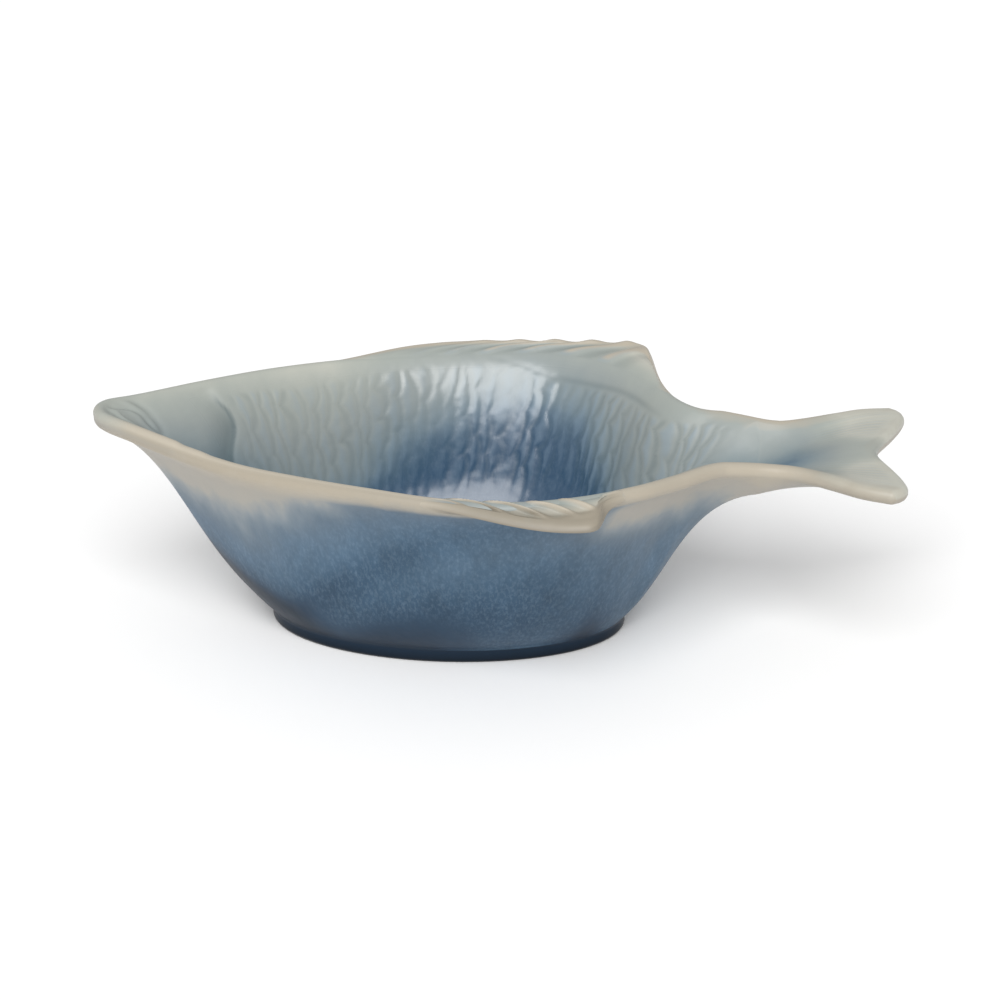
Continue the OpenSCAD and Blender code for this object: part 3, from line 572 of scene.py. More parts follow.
bowlRows, bowlPoles = bowlParts(bowlShape)
rowCount = len(bowlRows)
bowlFaces = [skinFaces(rowCount, strips),
             np.concatenate([fanFaces(0, strips, rowCount * strips, True),
                             fanFaces((rowCount - 1) * strips, strips, rowCount * strips + 1, False)])]
wallFirst = len(bowlShape["underRows"])
edgeFirst = wallFirst + bowlShape["outerRows"]
innerFirst = edgeFirst + bowlShape["edgeRows"]
rowOf, stripOf = np.divmod(np.arange(len(bowlFaces[0])), strips)
underTail = (rowOf >= edgeFirst) & (rowOf < innerFirst) & (stripOf < rootCount)
bowlHidden = [underTail | (rowOf == wallFirst - 1), np.zeros(len(bowlFaces[1]), bool)]
bowlMesh, bowlFaces = makeMesh("bowl", bowlRows + bowlPoles, bowlFaces)

# the bowl's points round the section that it shares with the tail, in the order of the tail's loops
rootStrips, rimSteps = np.arange(rootCount + 1), np.arange(1, bowlShape["edgeRows"])
rootIds = np.concatenate([edgeFirst * strips + rootStrips, (edgeFirst + rimSteps) * strips + rootCount,
                          innerFirst * strips + rootStrips[::-1], (edgeFirst + rimSteps[::-1]) * strips])
tailPlaces = np.concatenate([rootStrips, np.full(len(rimSteps), rootCount), rootStrips[::-1], 0 * rimSteps])
upperSide = np.concatenate([0 * rootStrips, rimSteps / bowlShape["edgeRows"], 0 * rootStrips + 1,
                            1 - rimSteps / bowlShape["edgeRows"]])


# the tail: a trough that opens into two lobes, drawn from the bowl's own root points
def tailUnder(t):
    wide = blend(tailShape["rootWidth"], tailShape["width"], curveThrough(tailShape["side"], [t])[0, 1])
    deep = tailShape["trough"] * curveThrough(tailShape["troughRun"], [t])[0, 1]
    endX = tipX - tailShape["notch"] * (1 - curveThrough(tailShape["end"], np.abs(rootAcross))[:, 1])
    top = bowlShape["rimHeight"] - tailShape["rootDrop"] - tailShape["tipDrop"] * t
    return np.stack([blend(rootX, endX, t), rootAcross * wide / 2,
                     top - deep * (1 - np.abs(rootAcross) ** bowlShape["troughPower"])], 1)


def roundEdge(low, high, out):
    turn = (math.pi * rimSteps / bowlShape["edgeRows"])[:, None]
    middle = (low + high) / 2
    return middle + (low - middle) * np.cos(turn) + out * np.linalg.norm(low - middle) * np.sin(turn)


def tailLoops():
    n = tailShape["steps"]
    lengths = np.linspace(0, 1, n + 1)
    under = np.array([tailUnder(t) for t in lengths])
    under[0] = rimLine[:rootCount + 1]
    thick = blend(bowlShape["wall"], tailShape["thick"], lengths)[:, None, None]
    up = unit(np.cross(np.gradient(under, axis=0), np.gradient(under, axis=1)))
    rootUp = innerTop[:rootCount + 1] - under[0]
    # from the bowl's root to the tail's own section
    own = smoothStep(*tailShape["ownFrom"], lengths)[:, None, None]
    over = under + thick * unit(blend(rootUp, thick * up, own))
    over[0] = innerTop[:rootCount + 1]
    rows = []
    for j in range(n + 1):
        outs = unit(np.cross(over[j] - under[j], under[min(j + 1, n)] - under[max(j - 1, 0)]))
        far = unit(blend(rimOut[rootCount], outs[-1], own[j, 0]))
        near = unit(blend(rimOut[0], -outs[0], own[j, 0]))
        rows.append(np.concatenate([under[j], roundEdge(under[j, -1], over[j, -1], far), over[j, ::-1],
                                    roundEdge(under[j, 0], over[j, 0], near)[::-1]]))
    # the rounding of the end follows the outline where it turns round the tips of the lobes
    outline = unit(np.cross(over[-1] - under[-1], np.gradient(under[-1], axis=0)))
    outline = outline * np.sign(outline[:, :1])
    tips = smoothStep(*tailShape["tipsFrom"], np.abs(rootAcross))[:, None]
    back = unit(blend(unit(under[-1] - under[-2]), outline, tips))[tailPlaces]
    middle = ((under[-1] + over[-1]) / 2)[tailPlaces]
    half = np.linalg.norm(over[-1] - under[-1], axis=1)[tailPlaces][:, None] / 2
    for turn in np.linspace(0, math.radians(tailShape["endTurn"]), tailShape["endSteps"] + 1)[1:]:
        rows.append(middle + unit((rows[n] - middle) * math.cos(turn) + back * half * math.sin(turn)) * half)
    return rows


def tailParts(look):
    parts = []
    across = np.abs(2 * tailPlaces / rootCount - 1)
    between = (upperSide > 0) & (upperSide < 1)
    inside = np.where(between, smoothStep(*bowlShape["insideRound"], upperSide), upperSide)
    cream = np.where(between, tableAt(bowlShape["creamRound"], upperSide),
                     look["cream"] * bump((1 - across) * look["rootWidth"] / 2, look["creamWide"]))
    trough = look["troughTone"] * (1 - across) ** look["troughSpread"]
    lobes = look["lobeTone"] * smoothStep(*look["lobeAcross"], across)
    bowlAt = {key: np.concatenate([np.broadcast_to(p[key], strips) for p in bowlRows])[rootIds]
              for key in bowlKeys}
    for j, row in enumerate(tailLoops()):
        t, tip = min(j / look["steps"], 1), max(0, j - look["steps"]) / look["endSteps"]
        over = look["tone"] + look["endTone"] * smoothStep(*look["endFrom"], t)
        over = over + trough * falling(*look["troughFade"], t) + lobes * smoothStep(*look["lobeFrom"], t)
        under = look["underTone"] + look["underLoss"] * smoothStep(*look["underFrom"], t)
        end = smoothStep(*look["endCreamFrom"], t)
        # along the near edge the darker cream is painted shade
        near = smoothStep(*look["nearShadeFrom"], t) * (tailPlaces == 0)
        thinned = cream * (1 - look["creamLoss"] * smoothStep(*look["creamFade"], t))
        own = {"inside": inside, "relief": 0.0, "edge": np.maximum(thinned, look["endCream"] * end),
               "depth": np.where(upperSide > 0.5, over, under),
               "worn": look["worn"] + look["tailEdgeDim"] * np.maximum(end, near)}
        rayMask = within(look["rayShown"], t) * within(look["rayAcross"], across)
        rayMask = rayMask * (1 - tip) * (upperSide > 0.9)
        parts.append({"points": row, "ray": look["rays"] * across ** look["raySpread"], "rayMask": rayMask,
                      **{key: blend(bowlAt[key], own[key], smoothStep(*look["bowlFade"], t)) for key in own}})
    return parts


tailRows = tailParts(tailShape)
tailCount, loopSize = len(tailRows), len(tailPlaces)
capShift = (bowlShape["edgeRows"] - 1) // 2
tailFaces = [skinFaces(tailCount, loopSize), ladderFaces(0, loopSize, capShift, True),
             ladderFaces((tailCount - 1) * loopSize, loopSize, capShift, False)]
tailHidden = [np.full(len(f), k == 1) for k, f in enumerate(tailFaces)]  # the cap at the root
tailMesh, tailFaces = makeMesh("tail", tailRows, tailFaces)


def bezier(a, b, c, d, steps):
    t = (np.arange(steps + 1) / steps)[:, None, None]
    return a * (1 - t) ** 3 + b * 3 * t * (1 - t) ** 2 + c * 3 * t ** 2 * (1 - t) + d * t ** 3


# the fins: flanges that grow out of the inside of the wall over the rim, with swept rays near the edge
def finForm(fin, segment):
    count = len(segments[segment])
    strip = np.arange(firsts[segment], firsts[segment] + count + 1) % strips
    place = np.arange(count + 1) / count
    place = place if fin["side"] > 0 else 1 - place
    reach, sweep = curveThrough(fin["rows"], place)[:, 1:].T
    wave = 0.5 * np.cos(2 * math.pi * tableAt(fin["rayPlaces"], place)) * tableAt(fin["rayFade"], place)
    base, foot = rimEdge(0.5)[strip], rimEdge(finShape["rimTo"])[strip]
    half = finShape["thick"] / 2
    line = (bowlShape["bodyWidth"] + bowlShape["wall"]) / 2 + finShape["reach"] - half
    line = line - fin["scallop"] * (0.5 - wave)
    edge = base + np.stack([finShape["sweep"] * sweep, fin["side"] * reach * (line - np.abs(base[:, 1])),
                            reach * (fin["ray"] * wave + fin["lift"])], 1)
    soft = easing * bump(place - finShape["tipPlace"], finShape["tipWide"])
    edge = eased(edge, fin["tipRounds"], soft[1:-1, None])
    top, under = [rimEdge(finShape[key])[strip] for key in ("topPlace", "underPlace")]
    up, out = unit(top - under), unit(edge - (top + under) / 2)
    high, low = edge + half * up, edge - half * up
    rise = unit(innerShaped[0, strip] - innerShaped[1, strip])
    start = innerShaped[0, strip] - finShape["sink"] * innerWays[0, strip]
    length, back = [np.linalg.norm(v, axis=1)[:, None] for v in (high - start, low - foot)]
    turn = (math.pi * np.arange(1, finShape["noseSteps"]) / finShape["noseSteps"])[:, None, None]
    grown = np.concatenate([
        bezier(start, start + finShape["riseHandle"] * length * rise,
               high - finShape["edgeHandle"] * length * out + fin["bulge"] * up, high, finShape["topSteps"]),
        edge + half * (up * np.cos(turn) + out * np.sin(turn)),
        bezier(low, low - finShape["lowHandle"] * back * out,
               foot + finShape["footHandle"] * back * rimOut[strip], foot, finShape["underSteps"])])
    # at its ends the fin fades into the rim
    rimShares = np.linspace(finShape["rimFrom"], finShape["rimTo"], finShape["rimSteps"])
    path = np.array([innerShaped[0, strip]] + [rimEdge(k)[strip] for k in rimShares])
    gaps, steps = lengthAlong(path), np.linspace(0, 1, len(grown))
    rim = np.stack([np.stack([np.interp(steps * gaps[-1, i], gaps[:, i], path[:, i, k]) for k in range(3)], 1)
                    for i in range(count + 1)], 1)
    rim = rim - finShape["embed"] * unit(rim - rimMiddle[strip])
    fade = (1 - reach) ** finShape["fade"]
    inner = [blend(foot, start, k) - finShape["inner"] * rimOut[strip] for k in (1 / 3, 2 / 3)]
    loop = np.concatenate([blend(grown, rim, fade[None, :, None]), inner])
    topCount, rest = finShape["topSteps"] + 1, len(loop) - finShape["topSteps"] - 1
    nose = np.linspace(0, 1, finShape["noseSteps"] + 1)[1:-1]
    return {"loop": loop, "place": place, "strip": strip, "full": 1 - fade, "gone": lengthAlong(loop),
            "topShare": np.concatenate([np.linspace(0, 1, topCount), np.ones(rest)]),
            "onTop": np.repeat([1.0, 0.0], [topCount, rest]),
            "nosePlace": np.concatenate([np.zeros(topCount), nose, np.ones(rest - len(nose))])}


def finPiece(name):
    fin, segment = fins[name]
    form = finForm(fin, segment)
    n = len(form["loop"])
    across, lower, onTop = [form[key] for key in ("topShare", "nosePlace", "onTop")]
    parts = []
    for i, (place, strip, full) in enumerate(zip(form["place"], form["strip"], form["full"])):
        gone = form["gone"][:, i]
        swept = place - fin["lean"] * (1 - across ** finShape["leanPower"])
        thinning = finShape["thinning"] + finShape["rearThinning"] * falling(*finShape["rearPart"], place)
        rim = tableAt(finShape["rimCream"], gone / gone[-3])
        nose = fin["rayNose"] * (1 - onTop) * falling(*finShape["noseFade"], lower)
        shown = tableAt(fin["rayFade"], swept) * full * smoothStep(*finShape["rayStart"], place)
        # across the outer band the darker cream is painted shade, strongest on the belly fin
        parts.append({
            "points": form["loop"][:, i], "inside": falling(*bowlShape["insideRound"], lower), "relief": 0.0,
            "depth": np.where(lower < 0.5, innerTone[0, strip] - gone * thinning, outerTone[-1, strip]),
            "edge": bump((across - 1) * finShape["topWide"], fin["creamWide"]) * full + rim * (1 - full),
            "worn": blend(bowlShape["worn"], fin["worn"], smoothStep(*finShape["bandShadeFrom"], across) * full),
            "ray": tableAt(fin["rayPlaces"], swept) + 0.5,
            "rayMask": (tableAt(fin["rayAcross"], gone) * onTop + nose) * shown})
    last = len(parts) * n
    faces = [skinFaces(len(parts), n), fanFaces(0, n, last, True), fanFaces(last - n, n, last + 1, False)]
    poles = [{**dict.fromkeys(p, 0.0), "points": p["points"].mean(0)[None]} for p in (parts[0], parts[-1])]
    mesh, faces = makeMesh(name, parts + poles, faces)
    hidden = [np.arange(len(faces[0])) % n >= n - 3] + [np.ones(n, bool)] * 2
    return mesh, faces, hidden, form


finPieces = {name: finPiece(name) for name in fins}


# the foot ring, rounded below
def footSection(turn):
    out = np.array([math.cos(turn), math.sin(turn), 0])
    up = np.array([0, 0, 1.0])
    halves = np.array([footShape["length"], footShape["width"], 0]) / 2
    edge, inner = [(halves - ring) * out - [footShape["shift"], 0, 0] for ring in (0, footShape["ring"])]
    r = footShape["round"]
    bends = np.linspace(0, math.pi / 2, footShape["roundSteps"] + 1)
    rows = [inner + footShape["height"] * up]
    rows += [edge + blend(footShape["height"], r, k) * up for k in (0, 1 / 3, 2 / 3)]
    rows += [edge + r * (math.cos(a) - 1) * out + r * (1 - math.sin(a)) * up for a in bends]
    rows += [inner + r * (1 - math.sin(a)) * out + r * (1 - math.cos(a)) * up for a in bends]
    return np.array(rows)


footTurns = 2 * np.arange(footShape["steps"]) / footShape["steps"]
footRows = [{"points": row, "bare": row[:, 2] < footShape["bareBelow"],
             "level": row[:, 2] / footShape["height"]}
            for row in (footSection(math.pi * turn) for turn in footTurns)]
footSize = len(footRows[0]["points"])
footFaces = [skinFaces(footShape["steps"] + 1, footSize) % (footShape["steps"] * footSize)]
footMesh, footFaces = makeMesh("footRing", footRows, footFaces)
footHidden = [np.arange(len(footFaces[0])) % footSize == 0]


# one function adds a node, sets or links its inputs by place or by name, and gives one of its outputs
def addNode(tree, kind, *inputs, named=None, out=0, **settings):
    node = tree.nodes.new(kind)
    for key, value in settings.items():
        setattr(node, key, value)
    for key, item in [*enumerate(inputs), *(named or {}).items()]:
        if isinstance(item, bpy.types.NodeSocket):
            tree.links.new(item, node.inputs[key])
        else:
            node.inputs[key].default_value = item
    return node.outputs[out] if node.outputs else node


# a tree for relief takes a surface, its sizes and its glaze
def reliefTree(name, sizes):
    tree = bpy.data.node_groups.new(name, "GeometryNodeTree")
    sockets = [("Geometry", "Geometry")] + [(size, "Float") for size in sizes] + [("Glaze", "Material")]
    for key, kind in sockets:
        tree.interface.new_socket(key, in_out="INPUT", socket_type="NodeSocket" + kind)
    tree.interface.new_socket("Geometry", in_out="OUTPUT", socket_type="NodeSocketGeometry")
    return tree, addNode(tree, "NodeGroupInput").node.outputs


# it ends by lifting the surface, keeping what the glaze reads there, and setting the glaze
def endRelief(tree, given, lift, kept):
    add = partial(addNode, tree)
    offset = add("ShaderNodeVectorMath", add("GeometryNodeInputNormal"), named={3: lift}, operation="SCALE")
    shape = add("GeometryNodeSetPosition", given["Geometry"], named={"Offset": offset})
    for name, value in kept.items():
        shape = add("GeometryNodeStoreNamedAttribute", shape, named={"Name": name, "Value": value},
                    data_type="FLOAT", domain="POINT")
    shape = add("GeometryNodeRealizeInstances", shape)
    add("NodeGroupOutput", add("GeometryNodeSetMaterial", shape, named={"Material": given["Glaze"]}))
    return tree


# scales: each column's free edges bow towards the tail, and every other column is half a scale lower
def scaleTree():
    tree, given = reliefTree("imbricatedScales", ("Relief", "Bow", "Wander"))
    add, calc = partial(addNode, tree), "ShaderNodeMath"
    column, lobe, mask, relief = [add("GeometryNodeInputNamedAttribute", key, data_type="FLOAT")
                                  for key in ("column", "lobe", "scaleMask", "relief")]
    place = add("ShaderNodeCombineXYZ", column, lobe)
    aside = add("ShaderNodeVectorMath", place, scaleShape["liftAside"], operation="ADD")
    noises = [add("ShaderNodeTexNoise", named={"Vector": where, "Scale": scaleShape[key], "Detail": 1.0})
              for where, key in ((place, "driftScale"), (aside, "liftScale"))]
    drift, lift = [add(calc, noise, 0.5, operation="SUBTRACT") for noise in noises]
    far, near = [add(calc, given["Wander"], scaleShape[key], operation="MULTIPLY")
                 for key in ("driftReach", "liftReach")]
    column = add(calc, drift, far, column, operation="MULTIPLY_ADD")
    lobe = add(calc, lift, near, lobe, operation="MULTIPLY_ADD")
    edges = []
    for shift in (0.0, 1.0):
        across = add(calc, add(calc, lobe, shift * 0.5, operation="ADD"), operation="FRACT")
        side = add(calc, across, 2.0, -1.0, operation="MULTIPLY_ADD")
        middle = add(calc, 1.0, add(calc, side, side, operation="MULTIPLY"), operation="SUBTRACT")
        behind = add(calc, middle, given["Bow"], shift, operation="MULTIPLY_ADD")
        pairs = add(calc, add(calc, column, behind, operation="SUBTRACT"), 2.0, operation="DIVIDE")
        edges.append(add(calc, add(calc, pairs, operation="CEIL"), 2.0, behind, operation="MULTIPLY_ADD"))
    rear = add(calc, *edges, operation="MINIMUM")
    front = add(calc, add(calc, *edges, operation="MAXIMUM"), 2.0, operation="SUBTRACT")
    width, way = [add(calc, end, front, operation="SUBTRACT") for end in (rear, column)]
    slope = add(calc, way, add(calc, width, scaleShape["narrowest"], operation="MAXIMUM"), operation="DIVIDE")
    wave = add(calc, add(calc, slope, math.pi, operation="MULTIPLY"), operation="SINE")
    hump = add(calc, add(calc, wave, 2.0, operation="POWER"), 0.5, operation="SUBTRACT")
    narrow = add(calc, add(calc, width, scaleShape["narrow"], operation="DIVIDE"), 1.0, operation="MINIMUM")
    uneven = add(calc, lift, scaleShape["uneven"], 1.0, operation="MULTIPLY_ADD")
    shown = hump
    for share in (narrow, uneven, mask):
        shown = add(calc, shown, share, operation="MULTIPLY")
    return endRelief(tree, given, add(calc, shown, given["Relief"], operation="MULTIPLY"),
                     {"relief": add(calc, relief, shown, operation="ADD")})


# rays: ridges that repeat along a fin or across the tail
def rayTree():
    tree, given = reliefTree("sweptRays", ("Height", "Sharpness", "Level", "Crest", "Pool"))
    add, calc = partial(addNode, tree), "ShaderNodeMath"
    ray, mask, relief = [add("GeometryNodeInputNamedAttribute", key, data_type="FLOAT")
                         for key in ("ray", "rayMask", "relief")]
    side = add(calc, add(calc, ray, operation="FRACT"), 0.5, operation="SUBTRACT")
    away = add(calc, side, operation="ABSOLUTE")
    near = add("ShaderNodeMapRange", away, 0.5, 0.0, interpolation_type="SMOOTHSTEP")
    ridge = add(calc, near, given["Sharpness"], operation="POWER")
    shown = add(calc, add(calc, ridge, given["Level"], operation="SUBTRACT"), mask, operation="MULTIPLY")
    crest = add(calc, add(calc, ridge, mask, operation="MULTIPLY"), given["Crest"], operation="MULTIPLY")
    lift = add(calc, shown, given["Height"], operation="MULTIPLY")
    relief = add(calc, shown, given["Pool"], relief, operation="MULTIPLY_ADD")
    return endRelief(tree, given, lift, {"relief": relief, "crest": crest})


def linear(code):
    parts = [int(code[k:k + 2], 16) / 255 for k in (0, 2, 4)]
    return [p / 12.92 if p <= 0.04045 else ((p + 0.055) / 1.055) ** 2.4 for p in parts] + [1.0]


# colours of the glaze by how far it has run below the rim in millimetres; less than zero lies out on a fin
glazeLook = {
    "insideStops": [[-20, "b9b8ad"], [-10, "9da29b"], [0, "949a96"], [6, "8c9392"], [14, "808b8d"],
                    [22, "697b86"], [26, "506678"], [30, "3e576c"], [36, "324e68"], [50, "2c4963"],
                    [80, "2c4963"]],
    # the deepest outside tones darken towards the base, partly as the glaze runs thick and partly as painted
    # shade of the lower wall
    "outsideStops": [[-8, "a8a297"], [0, "a4a098"], [2, "999a97"], [5, "868e93"], [9, "6f7c86"],
                     [13, "5f6f7d"], [18, "566a7c"], [26, "4d6478"], [36, "435b70"], [46, "395166"],
                     [56, "2f465b"], [66, "263b4f"], [76, "1e3042"], [88, "172635"]],
    "insideWander": 5.0, "outsideWander": 7.5, "depthLow": -20.0, "depthHigh": 90.0,
    "insideCrystals": 0.12, "outsideCrystals": 0.28,
    # the darker cream stands for painted shade on the near rims, the tail's near edge and the belly fin's
    # band, and tints the cream a little elsewhere
    "cream": "b4ab9b", "worn": "857c6d", "pool": "3a4f55", "crystal": "8298aa",
    "glossRough": 0.24, "satinRough": 0.4, "outsideShine": 0.15, "insideShine": 0.3, "glossShine": 0.23,
    "index": 1.6,
    # width in millimetres, detail and roughness of its patches; those that ran are drawn tall
    "patches": {"cloud": [38.0, 3.0, 0.55], "skin": [5.0, 1.0, 0.55]},
    "tallPatches": {"runs": [7.0, 3.0, 0.55], "crystals": [1.0, 3.0, 0.7], "blotches": [13.0, 3.0, 0.55],
                    "specks": [2.6, 3.0, 0.55]},
    "tall": (1.0, 1.0, 0.4), "skinStrength": 0.35, "skinDeep": 0.4,
    # how far clouds and runs shift the tones, where it is blue, and its crystals and mottling there
    "cloudShare": 2.4, "runShare": 1.2, "blueFrom": (4.0, 22.0), "blueTo": (52.0, 66.0, 1.0, 0.0),
    "crystalRange": (0.45, 0.8), "blotchShare": 0.6, "speckShare": 0.4, "mottle": (0.3, 0.7, 0.8, 1.16),
    # how far hollows, ridges and runs thin it, and from where to where pools, hollows, ridges and edges show
    "hollowCream": 0.6, "ridgeCream": 0.9, "runCream": 0.5, "poolDark": (0.0, 1.0, 0.0, 0.65),
    "hollowDark": (-0.03, -0.8, 0.0, 0.3), "ridgePale": (0.05, 0.6, 0.0, 0.3),
    "thinCream": (0.3, 0.95, 0.0, 0.9),
}


def newMaterial(name):
    mat = bpy.data.materials.new(name)
    mat.use_nodes = True
    mat.node_tree.nodes.clear()
    return mat, partial(addNode, mat.node_tree)


layer = {"data_type": "RGBA", "out": 2}  # one colour over another, its inputs 6 and 7


# glossy reactive glaze: thick and blue where it ran together, thin and cream where it broke over an edge
def glazeMaterial(name):
    mat, add = newMaterial(name)
    calc, span = "ShaderNodeMath", "ShaderNodeMapRange"
    inside, depth, relief, edge, pool, crest, worn, gloss = [
        add("ShaderNodeAttribute", out="Fac", attribute_name=key)
        for key in ("inside", "depth", "relief", "edge", "pool", "crest", "worn", "gloss")]
    spot = add("ShaderNodeTexCoord", out="Object")
    tall = add("ShaderNodeVectorMath", spot, glazeLook["tall"], operation="MULTIPLY")
    noise = {}
    for patches, where in (("patches", spot), ("tallPatches", tall)):
        for key, (size, detail, rough) in glazeLook[patches].items():
            noise[key] = add("ShaderNodeTexNoise", named={"Vector": where, "Scale": 1000 / size,
                                                          "Detail": detail, "Roughness": rough})
    cloud, runs = [add(calc, noise[key], 0.5, operation="SUBTRACT") for key in ("cloud", "runs")]
    low, high = glazeLook["depthLow"], glazeLook["depthHigh"]
    crystals = add(span, noise["crystals"], *glazeLook["crystalRange"])
    thickening, darkening = [add(span, depth, *glazeLook[key]) for key in ("blueFrom", "blueTo")]
    blue = add(calc, thickening, darkening, operation="MULTIPLY")
    sparkle = add(calc, crystals, blue, operation="MULTIPLY")
    tones = {}
    for side in ("inside", "outside"):
        wander, stops = glazeLook[side + "Wander"], glazeLook[side + "Stops"]
        level = add(calc, cloud, wander * glazeLook["cloudShare"], depth, operation="MULTIPLY_ADD")
        level = add(calc, runs, wander * glazeLook["runShare"], level, operation="MULTIPLY_ADD")
        tone = add("ShaderNodeValToRGB", add(span, level, low, high))
        ramp = tone.node.color_ramp
        ramp.interpolation = "B_SPLINE"
        while len(ramp.elements) < len(stops):
            ramp.elements.new(0.5)
        for element, (mm, code) in zip(ramp.elements, stops):
            element.position = (mm - low) / (high - low)
            element.color = linear(code)
        # fine pale crystals float in the blue
        share = add(calc, sparkle, glazeLook[side + "Crystals"], operation="MULTIPLY")
        tones[side] = add("ShaderNodeMix", share, named={6: tone, 7: linear(glazeLook["crystal"])}, **layer)
    # the outside is mottled where the glaze is thick
    blotches = add(calc, noise["specks"], glazeLook["speckShare"], operation="MULTIPLY")
    blotches = add(calc, noise["blotches"], glazeLook["blotchShare"], blotches, operation="MULTIPLY_ADD")
    light = add(span, blotches, *glazeLook["mottle"])
    mottled = add("ShaderNodeMix", 1.0, named={6: tones["outside"], 7: light}, blend_type="MULTIPLY",
                  **layer)
    outside = add("ShaderNodeMix", blue, named={6: tones["outside"], 7: mottled}, **layer)
    colour = add("ShaderNodeMix", inside, named={6: outside, 7: tones["inside"]}, **layer)
    # glaze pools dark in hollows, thins out pale on ridges and breaks to cream at edges
    thin, hollow = edge, add(calc, relief, 0.0, operation="MINIMUM")
    ridge = add(calc, crest, 2.0, operation="POWER")
    for value, key in ((hollow, "hollowCream"), (ridge, "ridgeCream"), (runs, "runCream")):
        thin = add(calc, value, glazeLook[key], thin, operation="MULTIPLY_ADD")
    cream, shadeCreamColour, dark, pale = [linear(glazeLook[key]) for key in ("cream", "worn", "pool", "crystal")]
    # the darker cream mixed in is mostly painted shade
    cream = add("ShaderNodeMix", worn, named={6: cream, 7: shadeCreamColour}, **layer)
    for value, key, over in ((pool, "poolDark", dark), (relief, "hollowDark", dark),
                             (relief, "ridgePale", pale), (thin, "thinCream", cream)):
        share = add(span, value, *glazeLook[key])
        colour = add("ShaderNodeMix", share, named={6: colour, 7: over}, **layer)
    rough = add(span, gloss, 0.0, 1.0, glazeLook["satinRough"], glazeLook["glossRough"])
    shine = add(span, inside, 0.0, 1.0, glazeLook["outsideShine"], glazeLook["insideShine"])
    shine = add(calc, gloss, glazeLook["glossShine"], shine, operation="MULTIPLY_ADD")
    skin = add("ShaderNodeBump", named={"Strength": glazeLook["skinStrength"], "Height": noise["skin"],
                                        "Distance": glazeLook["skinDeep"] / 1000})
    shader = add("ShaderNodeBsdfPrincipled", named={"Base Color": colour, "Roughness": rough, "Normal": skin,
                                                    "IOR": glazeLook["index"], "Specular IOR Level": shine})
    add("ShaderNodeOutputMaterial", shader)
    return mat


# satin navy glaze, almost black, on the foot, darker towards its bottom, partly thick glaze and partly
# painted shade, and the dull bare clay that it stands on
footLook = {"navy": ["08111a", "18293a"], "clay": ["8a7a66", "a8967e"], "speck": 3.0, "rough": [0.3, 0.8]}


def footMaterial():
    mat, add = newMaterial("satinNavyGlazeAndBareStoneware")
    level, bare = [add("ShaderNodeAttribute", out="Fac", attribute_name=key) for key in ("level", "bare")]
    speck = add("ShaderNodeTexNoise", named={"Vector": add("ShaderNodeTexCoord", out="Object"),
                                             "Scale": 1000 / footLook["speck"], "Detail": 4.0})
    navy, clay = [add("ShaderNodeMix", share, named={6: linear(codes[0]), 7: linear(codes[1])}, **layer)
                  for share, codes in ((level, footLook["navy"]), (speck, footLook["clay"]))]
    colour = add("ShaderNodeMix", bare, named={6: navy, 7: clay}, **layer)
    rough = add("ShaderNodeMapRange", bare, 0.0, 1.0, *footLook["rough"])
    shader = add("ShaderNodeBsdfPrincipled", named={"Base Color": colour, "Roughness": rough,
                                                    "Specular IOR Level": glazeLook["outsideShine"]})
    add("ShaderNodeOutputMaterial", shader)
    return mat


blueGlaze = glazeMaterial("glossyBlueReactiveGlaze")
paleGlaze = glazeMaterial("glossyPaleReactiveGlaze")
navyGlaze = footMaterial()
print("stage: materials made")


def placed(name, data):
    shape = bpy.data.objects.new(name, data)
    bpy.context.scene.collection.objects.link(shape)
    return shape


# a modifier's inputs are set by identifier, and its result is kept as a plain mesh
def settled(name, mesh, tree, values):
    shape = placed(name, mesh)
    modifier = shape.modifiers.new("relief", "NODES")
    modifier.node_group = tree
    ids = {item.name: item.identifier for item in tree.interface.items_tree if item.in_out == "INPUT"}
    for key, value in values.items():
        modifier[ids[key]] = value
    bpy.context.view_layer.update()
    done = bpy.data.meshes.new_from_object(shape.evaluated_get(bpy.context.evaluated_depsgraph_get()))
    shape.modifiers.remove(modifier)
    shape.data = done
    done.name = name
    bpy.data.meshes.remove(mesh)
    return shape


def rayed(name, mesh, look):
    return settled(name, mesh, rays, {
        "Height": look["rayHeight"] / 1000, "Sharpness": look["sharp"], "Level": look["level"],
        "Crest": look["crest"], "Pool": look["pool"], "Glaze": paleGlaze})


def pointsOf(shape):
    flat = np.empty(len(shape.data.vertices) * 3, np.float32)
    shape.data.vertices.foreach_get("co", flat)
    return flat.reshape(-1, 3).astype(float) * 1000


scales, rays = scaleTree(), rayTree()
bowl = settled("bowl", bowlMesh, scales, {"Relief": scaleShape["relief"] / 1000, "Bow": scaleShape["bow"],
                                          "Wander": scaleShape["wander"], "Glaze": blueGlaze})
tail = rayed("tail", tailMesh, tailShape)
dorsalFin, bellyFin = [rayed(name, finPieces[name][0], fin) for name, (fin, segment) in fins.items()]
footRing = placed("footRing", footMesh)
footMesh.materials.append(navyGlaze)
print("stage: relief settled")


